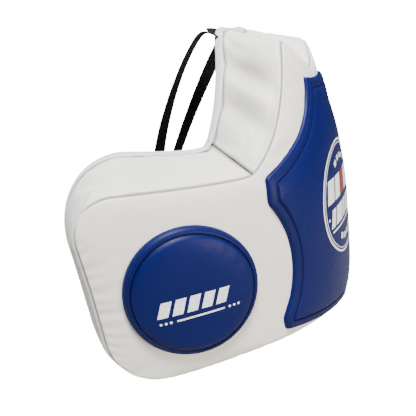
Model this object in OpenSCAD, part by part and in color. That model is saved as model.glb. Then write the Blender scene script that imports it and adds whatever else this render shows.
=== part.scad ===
// Chest protector for boxing and martial arts coaches: a thick padded bib with two side
// wings, a raised centre panel, two round punch pads and a webbing harness.
// The origin is on the floor, on the centre plane, at the middle of the strip of binding that
// the protector rests on.
// +Z is up, +X is the wearer's left and -Y is the way the wearer faces.
// Every padded piece is placed by three numbers: u is the distance round the front face
// from the centre line, z is the height, and depth is the distance in from the front face.

/* [Padding] */
// Radius of the chest, seen from above
chest_r = 333; // [300:1:380]
// Distance round the front face from the centre line to the start of the wing arc
chest_arc = 230; // [210:1:250]
// Radius of the wings, seen from above
wing_r = 909; // [700:1:1200]
// Distance round the front face from the centre line to the fold of each wing
fold_u = 190; // [188:1:194]
// Distance round the front face from the centre line to the rear edge of each wing
rear_u = 422; // [415:1:440]
// Total thickness of the padding
thick = 94; // [80:1:100]
// How far the back outline stands outside the front outline at the rear edge
rear_bevel = 24; // [20:1:32]
// Backward lean of the chest per millimetre of height
lean = 0.094; // [0.05:0.001:0.12]
// Height at which the chest starts to curve back
curl_z = 164; // [140:1:200]
// Backward curve of the chest above that height
curl = 0.0005; // [0.0003:0.00005:0.0006]

/* [Outline] */
// Height of the front face at the shoulder corners
shoulder_z = 436; // [420:1:445]
// Half the width of the front face between the shoulder corners
shoulder_u = 62; // [58:1:70]
// Depth of the dip in the front neckline
neck_dip = 42; // [20:1:48]
// Height of the front face at the top of each wing
wing_z = 291; // [280:1:298]
// Corner radius of the front face at the top of each wing
wing_top_r = 56; // [40:1:60]
// Corner radius at the foot of each wing
wing_foot_r = 74; // [55:1:80]

/* [Pads] */
// Radius of each round pad
pad_r = 86; // [80:1:90]
// Distance round the front face from the centre line to the middle of each round pad
pad_u = 303; // [298:1:308]
// Height of the middle of each round pad
pad_z = 158; // [150:1:170]
// How far the round pads and the centre panel stand proud of the front face
pad_h = 12; // [8:0.5:14]
// Radius of the print on the centre panel
emblem_r = 89; // [80:1:92]
// Height of the middle of that print
emblem_z = 198; // [190:1:206]

/* [Materials] */
// Thickness of the leather
leather = 1.5; // [1:0.1:2]
// Thickness of the webbing
webbing = 1.8; // [1.4:0.1:2.2]
// Width of the webbing
web_w = 38; // [30:1:40]
// Width of the binding tape on each side of the back edge
tape_w = 9; // [7:0.5:11]
// Thickness of the binding tape
tape = 1.2; // [0.8:0.1:1.4]
// Free gap between neighbouring pieces
gap = 0.6; // [0.5:0.05:0.7]
// Free gap between the foam and the leather round its edges
foam_gap = 1.8; // [1.5:0.1:2.5]
// Diameter of the ring wire
wire_d = 4; // [3:0.5:5]

/* [Hidden] */

RAD = 180 / PI;
chest_turn = chest_arc / chest_r * RAD;  // heading where the wing arc starts
fold_gap = 1;                            // half the open gap at each fold
foam_split = 52;                         // depth where the firm foam meets the soft foam
back_bevel = 24;                         // outward step of the back outline along the top
front_sag = 2.5;                         // shallow dip along the top of each wing, at the front
back_sag = 9;                            // the same at the back
fold_drop = 7;                           // the front face is this much lower at the fold
fold_rise = 26;                          // how much higher the back is than the front there
shoulder_rise = 22;                      // how much higher the back is at the shoulders
top_growth = 55;                         // how much larger the top corner is at the back
foot_growth = 18;                        // the same for the foot corner
face_foot = 6;                           // height of the front face's lower edge at the centre
foot_rise = 34;                          // how much higher that edge is at the wings
flat_share = 0.85;                       // share of the depth where the foot reaches the floor
floor_z = tape + gap;                    // height of the gusset there, above the binding
back_neck_dip = 4;                       // dip of the back neckline
rest_depth = 90;                         // depth of the resting strip's middle, where Y is zero

function mix(a, b, t) = a + (b - a) * t;

// Heading of the front face, seen from above, at distance a from the centre line
function heading(a) = a < chest_arc ? a / chest_r * RAD
                                    : chest_turn + (a - chest_arc) / wing_r * RAD;
function plan_x(h) = h < chest_turn ? chest_r * sin(h)
                                    : chest_r * sin(chest_turn) + wing_r * (sin(h) - sin(chest_turn));
function plan_y(h) = h < chest_turn ? chest_r * (1 - cos(h))
                                    : chest_r * (1 - cos(chest_turn)) + wing_r * (cos(chest_turn) - cos(h));
function lean_y(z) = lean * z + curl * pow(max(0, z - curl_z), 2);

// Point at distance u round the front face, at height z, at this depth inside it
function skin(u, z, depth) =
    let (h = heading(abs(u)), side = u < 0 ? -1 : 1)
    [side * (plan_x(h) - depth * sin(h)), plan_y(h) + depth * cos(h) + lean_y(z) - rest_depth, z];

// ---- Outline of the padding: p runs from 0 at the front to 1 at the back, and inset
// moves a point inwards from the outline.
function foot_z(u, p, inset) =
    mix(face_foot + foot_rise * sin(min(90, abs(u) * 90 / 260)), floor_z,
        min(1, p / flat_share)) + inset;
function shoulder(p, inset) =
    [shoulder_u + 8 * p - 0.4 * inset, shoulder_z + shoulder_rise * p - 0.9 * inset];
function arm_control(p, inset) = [131 + 3 * p - 0.75 * inset, 316 + 50 * p - 0.66 * inset];
function fold_z(p) = wing_z - fold_drop + fold_rise * p;
function arm_foot(p, inset) = [fold_u - fold_gap, fold_z(p) - 0.8 * inset];
function neck_z(p, inset) = mix(shoulder_z - neck_dip, shoulder_z + shoulder_rise - back_neck_dip, p) - inset;
function bezier(a, b, c, t) = a * (1 - t) * (1 - t) + b * 2 * t * (1 - t) + c * t * t;

neck_steps = 8;
arm_steps = 9;
function half_neck(p, inset) = [for (i = [0:neck_steps])
    let (t = i / neck_steps, s = shoulder(p, inset))
    [t * s.x, mix(neck_z(p, inset), s.y, pow(t, 1.2))]];
function armhole(p, inset) = [for (i = [0:arm_steps])
    bezier(shoulder(p, inset), arm_control(p, inset), arm_foot(p, inset), i / arm_steps)];
function mirrored(path) = [for (i = [len(path) - 1:-1:1]) [-path[i].x, path[i].y]];
function both_sides(half) = concat(mirrored(half), half);
function neck(p, inset) = both_sides(half_neck(p, inset));
function chest_top(p, inset) =
    both_sides(concat(half_neck(p, inset), [for (i = [1:arm_steps]) armhole(p, inset)[i]]));

// Wing: distances round the face, from the fold to the rear edge, with its two corners
corner_steps = 5;
straight_steps = 4;
function rear(p, inset) = rear_u + rear_bevel * p - inset;
function top_r(p) = wing_top_r + top_growth * p;
function foot_r(p) = wing_foot_r + foot_growth * p;
function wing_corner_u(p, inset) = rear(p, inset) - top_r(p);
function wing_us(p, inset) = concat(
    [for (i = [0:straight_steps]) mix(fold_u + fold_gap, wing_corner_u(p, inset), i / straight_steps)],
    [for (i = [1:corner_steps]) wing_corner_u(p, inset) + top_r(p) * sin(90 * i / corner_steps)]);
function wing_top_z(u, p, inset) =
    let (c = wing_corner_u(p, inset), r = top_r(p), t = (u - fold_u) / (c - fold_u),
         start = fold_z(p), crest = wing_z + back_bevel * p)
    (u < c ? mix(start, crest, t) - mix(front_sag, back_sag, p) * sin(180 * sqrt(max(0, t)))
           : crest - r + sqrt(max(0, r * r - (u - c) * (u - c)))) - inset;
function wing_foot_z(u, p, inset) =
    let (c = rear(p, inset) - foot_r(p))
    foot_z(u, p, inset)
    + (u < c ? 0 : foot_r(p) - sqrt(max(0, pow(foot_r(p), 2) - (u - c) * (u - c))));
function wing_top(p, inset) = [for (u = wing_us(p, inset)) [u, wing_top_z(u, p, inset)]];
function wing_foot(p, inset) = [for (u = wing_us(p, inset)) [u, wing_foot_z(u, p, inset)]];
function reversed(path) = [for (i = [len(path) - 1:-1:0]) path[i]];
wing_rows = 4;
function wing_rim(p, inset) = let (top = wing_top(p, inset), foot = wing_foot(p, inset), last = len(top) - 1)
    concat(top, [for (j = [1:wing_rows - 1]) mix(top[last], foot[last], j / wing_rows)], reversed(foot));
function chest_foot(p, inset) = [for (c = chest_top(p, inset)) [c.x, foot_z(c.x, p, inset)]];

// ---- Solids built on those outlines

// Grid of points: one column for each pair of ends in foot and top
function sheet(foot, top, depth, rows) = [for (i = [0:len(top) - 1])
    [for (j = [0:rows]) skin(top[i].x, mix(foot[i].y, top[i].y, j / rows), depth)]];

// Closed solid between a front grid and a back grid of the same size; turned_columns is the
// number of top columns whose edge faces are split the other way, as a mirrored strip's are
module slab(front, back, turned_columns = 0) {
    n = len(front) - 1;
    m = len(front[0]) - 1;
    w = m + 1;
    base = (n + 1) * w;
    rim = concat([for (j = [0:m - 1]) j], [for (i = [0:n - 1]) i * w + m],
                 [for (j = [m:-1:1]) n * w + j], [for (i = [n:-1:1]) i * w]);
    turns = len(rim);
    polyhedron(
        points = [for (g = [front, back]) for (c = g) for (q = c) q],
        faces = concat(
            [for (i = [0:n - 1]) for (j = [0:m - 1]) let (a = i * w + j, b = a + w) each
                [[a, a + 1, b + 1], [a, b + 1, b],
                 [base + a, base + b + 1, base + a + 1], [base + a, base + b, base + b + 1]]],
            [for (k = [0:turns - 1]) let (a = rim[k], b = rim[(k + 1) % turns]) each
                (k >= m && k < m + turned_columns ? [[b, a, base + a], [b, base + a, base + b]]
                                                  : [[b, a, base + b], [a, base + a, base + b]])]));
}

// Layer of the padding between two depths, set in from the outline
module chest_layer(near, far, inset, rows = 10) {
    p = near / thick;
    q = far / thick;
    slab(sheet(chest_foot(p, inset), chest_top(p, inset), near, rows),
         sheet(chest_foot(q, inset), chest_top(q, inset), far, rows), arm_steps);
}
module wing_layer(near, far, inset, rows = wing_rows) {
    p = near / thick;
    q = far / thick;
    slab(sheet(wing_foot(p, inset), wing_top(p, inset), near, rows),
         sheet(wing_foot(q, inset), wing_top(q, inset), far, rows));
}

// Strip that follows an edge: path(p, inset) gives its outline, corners lists its section
// as [depth, inset] pairs, and caps lists the triangles that close the section's ends
module edge_sweep(path, corners, caps) {
    lines = [for (c = corners) let (line = path(c.x / thick, c.y)) [for (q = line) skin(q.x, q.y, c.x)]];
    k_count = len(corners);
    n = len(lines[0]) - 1;
    polyhedron(
        points = [for (s = [0:n]) for (k = [0:k_count - 1]) lines[k][s]],
        faces = concat(
            [for (s = [0:n - 1]) for (k = [0:k_count - 1])
                let (a = k_count * s + k, b = k_count * s + (k + 1) % k_count) each
                split_quad(a, b, k_count, k >= k_count / 2)],
            caps,
            [for (c = caps) [for (k = [2:-1:0]) c[k] + k_count * n]]));
}
// Two triangles for one face of a strip: the inner side is split the same way as the outer
function split_quad(a, b, step, inner) = inner ? [[a, b, a + step], [b, b + step, a + step]]
                                               : [[a, b, b + step], [a, b + step, a + step]];
// Leather strip round an edge; it bends where the foot reaches the floor
bent_caps = [[0, 7, 1], [1, 7, 6], [1, 6, 2], [2, 6, 5], [2, 5, 3], [3, 5, 4]];
module gusset(path) {
    near = leather + gap;
    bend = flat_share * thick;
    far = thick - leather - gap;
    edge_sweep(path, [[near, 0], [foam_split, 0], [bend, 0], [far, 0],
                      [far, leather], [bend, leather], [foam_split, leather], [near, leather]], bent_caps);
}
// Tape folded over the back edge: one leg on the gusset, one on the lining
angle_caps = [[0, 5, 4], [0, 4, 1], [1, 4, 3], [1, 3, 2]];
module binding(path) {
    near = thick - tape_w;
    back = thick + gap;
    far = back + tape;
    edge_sweep(path, [[near, -floor_z], [far, -floor_z], [far, tape_w], [back, tape_w],
                      [back, -gap], [near, -gap]], angle_caps);
}
module left_to_right() {
    mirror([1, 0, 0]) children();
}

// ---- Chest
module chest_outer_foam() {
    color("#d9d6cf") chest_layer(leather + gap, foam_split, leather + foam_gap);
}
module chest_inner_foam() {
    color("#8f9499") chest_layer(foam_split + gap, thick - leather - gap, leather + foam_gap);
}
module chest_face_cover() {
    color("#f1eee6") chest_layer(0, leather, 0);
}
module chest_lining() {
    color("#1b1c1f") chest_layer(thick - leather, thick, 0);
}
module neck_gusset() {
    color("#f4f2ea") gusset(function (p, inset) neck(p, inset));
}
module armhole_gusset() {
    color("#ece9e0") gusset(function (p, inset) armhole(p, inset));
}
module chest_foot_gusset() {
    color("#ece9e0") gusset(function (p, inset) reversed(chest_foot(p, inset)));
}
module neck_binding() {
    color("#ffffff") binding(function (p, inset) neck(p, inset));
}
module armhole_binding() {
    color("#ffffff") binding(function (p, inset) armhole(p, inset));
}
module chest_foot_binding() {
    color("#ffffff") binding(function (p, inset) reversed(chest_foot(p, inset)));
}

// ---- Centre panel: its right-hand side, from the lower corner up to the top corner
panel_foot = [182, 55];
panel_hip = [178, 276];
panel_top = [46, 384];
panel_arc_r = 147;   // the waist is an arc about the middle of the round pad
panel_top_dip = 4;
function panel_side() = concat(
    [panel_foot, panel_foot + [2, 18]],
    [for (a = [202:-9.5:145]) [pad_u + panel_arc_r * cos(a), pad_z + panel_arc_r * sin(a)]],
    [for (i = [0:5]) bezier(panel_hip, [60, 320], panel_top, i / 5)]);
function panel_foot_z(u) = face_foot + 7 + (panel_foot.y - face_foot - 7) * abs(u) / panel_foot.x;

// Grid over the panel, set in from its outline, at one depth
panel_columns = 20;
function panel_grid(depth, inset) =
    let (side = panel_side(), rows = len(side) - 1)
    [for (i = [0:panel_columns]) let (s = 2 * i / panel_columns - 1)
        [for (j = [0:rows])
            let (t = j / rows,
                 w = side[j].x - inset,
                 z = mix(side[j].y + inset, side[j].y - inset, t),
                 foot_drop = (panel_foot_z(s * w) - panel_foot.y) * pow(max(0, 1 - 2.5 * t), 1.5),
                 top_drop = -panel_top_dip * (1 - s * s) * pow(max(0, 3 * t - 2), 2))
            skin(s * w, z + foot_drop + top_drop, depth)]];
module centre_panel_foam() {
    color("#8f9499")
        slab(panel_grid(-pad_h + leather + gap, 8 + leather + 2 * gap), panel_grid(-2 * gap, 2 * (leather + gap)));
}
module centre_panel_cover() {
    color("#1d3f9e") difference() {
        slab(panel_grid(-pad_h, 8), panel_grid(-2 * gap, 0));
        slab(panel_grid(-pad_h + leather, 8 + leather / 2), panel_grid(leather, leather / 2));
    }
}

// Round sheet of points about a middle, domed towards the front
function disc_grid(u, z, r, depth, dome, steps = 7, rows = 6) =
    [for (i = [-steps:steps]) let (a = 86 * i / steps, h = r * cos(a))
        [for (j = [0:rows]) let (v = mix(-h, h, j / rows), x = r * sin(a))
            skin(u + x, z + v, depth - dome * (1 - (x * x + v * v) / (r * r)))]];
module emblem_print() {
    color("#f4f6fa")
        slab(disc_grid(0, emblem_z, emblem_r, -pad_h - gap - 0.3, 0),
             disc_grid(0, emblem_z, emblem_r, -pad_h - gap, 0));
}
module strap_anchor() {
    color("#e9e6dd")
        slab([for (u = [30, 50, 72]) [for (z = [404, 420, 436]) skin(u, z, thick + 2 * gap)]],
             [for (u = [30, 50, 72]) [for (z = [404, 420, 436]) skin(u, z, thick + 2 * gap + leather)]]);
}

// ---- Wing
module wing_outer_foam() {
    color("#d9d6cf") wing_layer(leather + gap, foam_split, leather + foam_gap);
}
module wing_inner_foam() {
    color("#8f9499") wing_layer(foam_split + gap, thick - leather - gap, leather + foam_gap);
}
module wing_face_cover() {
    color("#f1eee6") wing_layer(0, leather, 0);
}
module wing_lining() {
    color("#1b1c1f") wing_layer(thick - leather, thick, 0);
}
module wing_gusset() {
    color("#ece9e0") gusset(function (p, inset) wing_rim(p, inset));
}
module wing_binding() {
    color("#ffffff") binding(function (p, inset) wing_rim(p, inset));
}

// Round pad: a blue cover with a sloped band and a domed top over a foam disc
pad_dome = 5;
pad_band = 9;
module round_pad_foam() {
    color("#8f9499")
        slab(disc_grid(pad_u, pad_z, pad_r - pad_band - leather - gap, -pad_h + pad_dome + leather + gap, pad_dome),
             disc_grid(pad_u, pad_z, pad_r - 2 * (leather + gap), -gap, 0));
}
module round_pad_cover() {
    color("#1d3f9e") difference() {
        slab(disc_grid(pad_u, pad_z, pad_r - pad_band, -pad_h + pad_dome, pad_dome),
             disc_grid(pad_u, pad_z, pad_r, -gap, 0));
        slab(disc_grid(pad_u, pad_z, pad_r - pad_band - leather / 2, -pad_h + pad_dome + leather, pad_dome),
             disc_grid(pad_u, pad_z, pad_r - leather / 2, leather, 0));
    }
}
print_w = 100;
print_h = 26;
function print_grid(rise) = [for (i = [-5:5]) [for (j = [-1:1])
    let (x = i * print_w / 10, v = j * print_h / 2 - 14, r = pad_r - pad_band)
    skin(pad_u + x, pad_z + v, -pad_h + pad_dome - rise - pad_dome * (1 - (x * x + v * v) / (r * r)))]];
module pad_print() {
    color("#f4f6fa") slab(print_grid(gap + 0.3), print_grid(gap));
}

// ---- Strap ring on a webbing tab inside each wing's rear edge
ring_u = 415;
ring_z = 128;
ring_open = 42;          // clear height of the ring, for the webbing
ring_reach = 16;         // clear width of the ring
tab_clear = tape + 2 * gap;   // the tab lies over the binding's inner leg
tab_len = 24;
tab_w = 34;
wire_r = wire_d / 2;
eye_r = wire_r + webbing + 0.05;
module on_lining(u, z, off) {
    h = heading(u);
    translate(skin(u, z, thick + off)) rotate([0, 0, h]) rotate([-atan(lean * cos(h)), 0, 0]) children();
}
module ring_tab() {
    color("#16171a") on_lining(ring_u, ring_z, tab_clear) difference() {
        translate([0, 0, -tab_w / 2]) linear_extrude(tab_w) union() {
            translate([0, eye_r]) circle(eye_r, $fn = 48);
            square([tab_len, 2 * webbing]);
        }
        translate([0, eye_r, -tab_w]) cylinder(r = wire_r + 0.05, h = 2 * tab_w, $fn = 48);
    }
}
ring_swing = 35;         // the ring stands this far off the lining
module strap_ring() {
    bend = 5;
    tall = ring_open + wire_d;
    wide = ring_reach + wire_d;
    color("#c9ccd1") on_lining(ring_u, ring_z, tab_clear) translate([0, eye_r, 0])
        rotate([0, 0, -ring_swing]) union() {
            for (x = [0, -wide])
                translate([x, 0, -tall / 2 + bend]) cylinder(r = wire_r, h = tall - 2 * bend, $fn = 32);
            for (z = [-tall / 2, tall / 2])
                translate([-bend, 0, z]) rotate([0, -90, 0]) cylinder(r = wire_r, h = wide - 2 * bend, $fn = 32);
            for (a = [0:90:270]) translate([-wide / 2, 0, 0]) rotate([0, a, 0])
                translate(a % 180 == 0 ? [wide / 2 - bend, 0, tall / 2 - bend] : [tall / 2 - bend, 0, wide / 2 - bend])
                    rotate([90, 0, 0]) rotate_extrude(angle = 90, $fn = 48) translate([bend, 0]) circle(wire_r, $fn = 32);
        }
}

// ---- Harness: the shoulder straps leave the back of the shoulder corners, hang in an arch
// and meet at the back patch
strap_start = [46, 102, 461];
strap_bow = [[70, 137, 450], [46, 239, 254]];
strap_end = [20, 239.2, 204];
function cubic(a, b, c, d, t) =
    a * pow(1 - t, 3) + b * 3 * t * pow(1 - t, 2) + c * 3 * t * t * (1 - t) + d * pow(t, 3);
function strap_point(t) = cubic(strap_start, strap_bow[0], strap_bow[1], strap_end, t);
function unit(v) = v / norm(v);
// Direction of the strap's width: it starts along the shoulder, twists inwards as it hangs
// and lies flat against the front of the patch at its end
function strap_across(t) = let (a = mix(-13, mix(32, 0, t), min(1, t / 0.3))) [cos(a), -sin(a), 0];
strap_steps = 14;
module shoulder_strap() {
    rows = [for (i = [0:strap_steps]) let (t = i / strap_steps,
            along = unit(strap_point(t + 0.01) - strap_point(t - 0.01)),
            side = unit(strap_across(t) - along * (along * strap_across(t))),
            up = cross(side, along), c = strap_point(t))
        [for (k = [[-1, -1], [1, -1], [1, 1], [-1, 1]])
            c + side * k.x * web_w / 2 + up * k.y * webbing / 2]];
    color("#111214") polyhedron(
        points = [for (r = rows) for (q = r) q],
        faces = concat(
            [for (s = [0:strap_steps - 1]) for (k = [0:3]) let (a = 4 * s + k, b = 4 * s + (k + 1) % 4) each
                split_quad(a, b, 4, k >= 2)],
            [[0, 3, 2], [0, 2, 1],
             [4 * strap_steps, 4 * strap_steps + 1, 4 * strap_steps + 2],
             [4 * strap_steps, 4 * strap_steps + 2, 4 * strap_steps + 3]]));
}
patch_w = 86;
patch_h = 58;
patch_z = 193;
patch_y = 242;
module back_patch() {
    color("#e9e6dd") translate([0, patch_y, patch_z]) rotate([90, 0, 0])
        linear_extrude(2 * leather, center = true) polygon([
            [-patch_w / 2, patch_h / 2 - 14], [-patch_w / 2, -patch_h / 2 + 14], [-patch_w / 2 + 14, -patch_h / 2],
            [patch_w / 2 - 14, -patch_h / 2], [patch_w / 2, -patch_h / 2 + 14], [patch_w / 2, patch_h / 2 - 14],
            [patch_w / 2 - 14, patch_h / 2], [-patch_w / 2 + 14, patch_h / 2]]);
}

// Waist straps: each hangs from the foot of the patch, with its hook end folded back on it
waist_len = 108;
waist_tilt = 28;         // angle of the hanging strap away from the centre line
waist_x = 20;
waist_top_z = patch_z - patch_h / 2 - 10;
loop_len = 70;
hook_len = 42;
flap_len = 52;
tape_t = 1.2;            // thickness of the hook tape and of the loop tape
module on_waist() {
    translate([waist_x, patch_y, waist_top_z]) rotate([0, -waist_tilt, 0]) children();
}
module waist_strap() {
    color("#111214") on_waist() translate([-web_w / 2, -webbing / 2, -waist_len])
        cube([web_w, webbing, waist_len]);
}
module loop_tape() {
    color("#2a2b2e") on_waist() translate([-web_w / 2 + 2, webbing / 2 + gap / 4, -waist_len + 4])
        cube([web_w - 4, tape_t, loop_len]);
}
flap_y = webbing / 2 + 2 * tape_t + gap;   // inner face of the folded end, from the strap's middle
module strap_flap() {
    color("#111214") on_waist() translate([-web_w / 2, flap_y, -waist_len - 2])
        cube([web_w, webbing, flap_len]);
}
module hook_tape() {
    color("#3a3b3f") on_waist() translate([-web_w / 2 + 2, flap_y - gap / 4 - tape_t, -waist_len + 6])
        cube([web_w - 4, tape_t, hook_len]);
}

chest_outer_foam();
chest_inner_foam();
chest_face_cover();
chest_lining();
neck_gusset();
armhole_gusset();  // armhole_gusset_left
left_to_right() armhole_gusset();  // armhole_gusset_right
chest_foot_gusset();
neck_binding();
armhole_binding();  // armhole_binding_left
left_to_right() armhole_binding();  // armhole_binding_right
chest_foot_binding();
centre_panel_foam();
centre_panel_cover();
emblem_print();
strap_anchor();  // strap_anchor_left
left_to_right() strap_anchor();  // strap_anchor_right
wing_outer_foam();  // wing_outer_foam_left
wing_inner_foam();  // wing_inner_foam_left
wing_face_cover();  // wing_face_cover_left
wing_lining();  // wing_lining_left
wing_gusset();  // wing_gusset_left
wing_binding();  // wing_binding_left
round_pad_foam();  // round_pad_foam_left
round_pad_cover();  // round_pad_cover_left
pad_print();  // pad_print_left
ring_tab();  // ring_tab_left
strap_ring();  // strap_ring_left
left_to_right() wing_outer_foam();  // wing_outer_foam_right
left_to_right() wing_inner_foam();  // wing_inner_foam_right
left_to_right() wing_face_cover();  // wing_face_cover_right
left_to_right() wing_lining();  // wing_lining_right
left_to_right() wing_gusset();  // wing_gusset_right
left_to_right() wing_binding();  // wing_binding_right
left_to_right() round_pad_foam();  // round_pad_foam_right
left_to_right() round_pad_cover();  // round_pad_cover_right
left_to_right() pad_print();  // pad_print_right
left_to_right() ring_tab();  // ring_tab_right
left_to_right() strap_ring();  // strap_ring_right
shoulder_strap();  // shoulder_strap_left
left_to_right() shoulder_strap();  // shoulder_strap_right
back_patch();
waist_strap();  // waist_strap_left
loop_tape();  // loop_tape_left
strap_flap();  // strap_flap_left
hook_tape();  // hook_tape_left
left_to_right() waist_strap();  // waist_strap_right
left_to_right() loop_tape();  // loop_tape_right
left_to_right() strap_flap();  // strap_flap_right
left_to_right() hook_tape();  // hook_tape_right
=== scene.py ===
"""Looks for the chest protector: leather skins inflated over the foam, pads, prints, stitching and webbing.

Lengths in this file are in millimetres and become metres when a mesh is made. Every padded piece
is placed by u (distance round the front face from the centre line), z (height) and depth (distance
in from the front face). Pieces are built on the +X side and mirrored.
"""

import math

import bmesh
import bpy
import numpy as np
from mathutils import Matrix, Vector
from mathutils.bvhtree import BVHTree


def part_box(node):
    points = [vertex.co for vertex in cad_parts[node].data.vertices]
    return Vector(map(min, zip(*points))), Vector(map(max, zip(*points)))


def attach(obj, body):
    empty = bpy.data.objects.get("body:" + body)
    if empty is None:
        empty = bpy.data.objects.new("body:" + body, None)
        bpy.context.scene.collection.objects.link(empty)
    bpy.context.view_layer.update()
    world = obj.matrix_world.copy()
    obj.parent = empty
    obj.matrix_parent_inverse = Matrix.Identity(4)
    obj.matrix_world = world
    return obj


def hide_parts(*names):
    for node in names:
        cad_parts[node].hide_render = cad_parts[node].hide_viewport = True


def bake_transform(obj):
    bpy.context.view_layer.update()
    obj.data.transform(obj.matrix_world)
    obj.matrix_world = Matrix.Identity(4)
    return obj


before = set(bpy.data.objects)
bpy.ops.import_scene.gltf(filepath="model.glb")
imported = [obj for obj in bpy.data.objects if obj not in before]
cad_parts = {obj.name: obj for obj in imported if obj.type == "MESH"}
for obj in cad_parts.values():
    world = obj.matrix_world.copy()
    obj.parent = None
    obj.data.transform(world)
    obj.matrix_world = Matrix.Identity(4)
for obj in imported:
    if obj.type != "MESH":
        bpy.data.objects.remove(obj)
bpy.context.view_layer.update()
MM = 0.001

# ---- Sizes of the padding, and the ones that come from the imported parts
CHEST_R, CHEST_ARC, WING_R = 333.0, 230.0, 909.0
FOLD_U, REAR_U, REAR_BEVEL, THICK = 190.0, 422.0, 24.0, 94.0
LEAN, CURL, CURL_Z = 0.094, 0.0005, 164.0
SHOULDER_U, SHOULDER_Z, NECK_DIP, WING_Z = 62.0, 436.0, 42.0, 291.0
SHOULDER_OUT, SHOULDER_RISE, WING_RISE = 8.0, 22.0, 24.0   # back outline beyond the front one
FOLD_DROP, FOLD_RISE = 7.0, 26.0
ARM_BOW, ARM_BOW_STEP = np.array([131.0, 316.0]), np.array([3.0, 50.0])
SAG_FRONT, SAG_BACK = 2.5, 9.0
FOOT_Z, FOOT_LIFT, FOOT_REACH = 6.0, 34.0, 260.0   # the foot rises from the middle towards the wings
TOP_R, TOP_GROWTH, FOOT_R, FOOT_GROWTH = 56.0, 55.0, 74.0, 18.0
FLAT_SHARE, FLOOR_Z, REST_DEPTH = 0.85, 1.8, 90.0
NECK_BACK_DIP, NECK_POWER = 4.0, 1.2
ROUND_REACH, ROUND_SHARE = (9.0, 28.0), (0.37, 0.24)   # rounding of the shoulder, at the front and back
ROUND_WAY = np.array([[-0.2, -0.98], [-0.42, -0.91]])
TURN = CHEST_ARC / CHEST_R
BOW, BOW_Z, BOW_LENGTH, BOW_WIDTH = 6.0, 335.0, 65.0, 60.0   # how far the filling pushes the neck end forward


def mm(node):
    """Lowest corner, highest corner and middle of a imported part, in millimetres."""
    low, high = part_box(node)
    low, high = np.array(low) / MM, np.array(high) / MM
    return low, high, (low + high) / 2


pad_low, pad_high, pad_mid = mm("round_pad_cover_left")
PAD_R, PAD_Z, PAD_U = (pad_high[2] - pad_low[2]) / 2, pad_mid[2], 303.0
emblem_low, emblem_high, emblem_mid = mm("emblem_print")
EMBLEM_R, EMBLEM_Z = (emblem_high[2] - emblem_low[2]) / 2, emblem_mid[2]


def mix(a, b, t):
    return a + (b - a) * t


def eased(t):
    """Smooth step from 0 to 1."""
    t = np.clip(t, 0, 1)
    return t * t * (3 - 2 * t)


def heading(a):
    return np.where(a < CHEST_ARC, a / CHEST_R, TURN + (a - CHEST_ARC) / WING_R)


def skin(u, z, depth):
    """Points of the padding at distance u round the face, height z and this depth."""
    u, z, depth = np.broadcast_arrays(*[np.asarray(v, float) for v in (u, z, depth)])
    side, h = np.where(u < 0, -1.0, 1.0), heading(np.abs(u))
    wing = h >= TURN
    x = np.where(wing, CHEST_R * math.sin(TURN) + WING_R * (np.sin(h) - math.sin(TURN)), CHEST_R * np.sin(h))
    y = np.where(wing, CHEST_R * (1 - math.cos(TURN)) + WING_R * (math.cos(TURN) - np.cos(h)),
                 CHEST_R * (1 - np.cos(h)))
    lean = LEAN * z + CURL * np.maximum(0, z - CURL_Z) ** 2
    bow = BOW * eased((z - BOW_Z) / BOW_LENGTH) * (1 - np.clip(np.abs(u) / BOW_WIDTH, 0, 1) ** 2)
    lean = lean - bow * (1 - np.clip(depth / THICK, 0, 1))
    return np.stack([side * (x - depth * np.sin(h)), y + depth * np.cos(h) + lean - REST_DEPTH, z], -1)


def inward(u):
    """Direction of increasing depth at distance u."""
    u = np.asarray(u, float)
    h = heading(np.abs(u))
    return np.stack([-np.sign(u) * np.sin(h), np.cos(h), 0 * h], -1)


INSIDE = skin(150, 190, 47)   # a point deep in the padding, from which outward directions are told


def mirror_of(side):
    return np.array([1.0 if side == "left" else -1.0, 1, 1])


# ---- Outline of the padding: p runs from 0 at the front to 1 at the back; k runs 0 to 1 along a stretch
def foot_z(u, p):
    front = FOOT_Z + FOOT_LIFT * np.sin(np.minimum(1, np.abs(u) / FOOT_REACH) * math.pi / 2)
    return mix(front, FLOOR_Z, min(1, p / FLAT_SHARE))


def fold_z(p):
    return WING_Z - FOLD_DROP + FOLD_RISE * p


def shoulder(p):
    return np.array([SHOULDER_U + SHOULDER_OUT * p, SHOULDER_Z + SHOULDER_RISE * p])


def rounded_shoulder(u, z, p):
    """Draws points near the shoulder corner inwards, so that the corner is round."""
    corner, reach = shoulder(p), mix(*ROUND_REACH, p)
    near = np.maximum(0, 1 - np.hypot(np.abs(u) - corner[0], z - corner[1]) / reach) ** 2
    drawn = near * reach * mix(*ROUND_SHARE, p)
    way = mix(*ROUND_WAY, p)
    return u + np.sign(u) * way[0] * drawn, z + way[1] * drawn


def neck_line(k, p):
    corner = shoulder(p)
    z = mix(mix(SHOULDER_Z - NECK_DIP, corner[1] - NECK_BACK_DIP, p), corner[1], np.abs(k) ** NECK_POWER)
    return rounded_shoulder(k * corner[0], z, p)


def arm_line(k, p):
    k = np.asarray(k, float)[:, None]
    bow, fold = ARM_BOW + ARM_BOW_STEP * p, np.array([FOLD_U, fold_z(p)])
    q = shoulder(p) * (1 - k) ** 2 + bow * 2 * k * (1 - k) + fold * k * k
    return rounded_shoulder(q[:, 0], q[:, 1], p)


def to_corner(k, c, r):
    """From the fold to half way round a corner of radius r that begins at c: u, and how far it has turned."""
    along = k * (c - FOLD_U + r * math.pi / 4)
    turn = np.maximum(0, along - (c - FOLD_U)) / r
    return np.where(turn > 0, c + r * np.sin(turn), FOLD_U + along), turn


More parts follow.
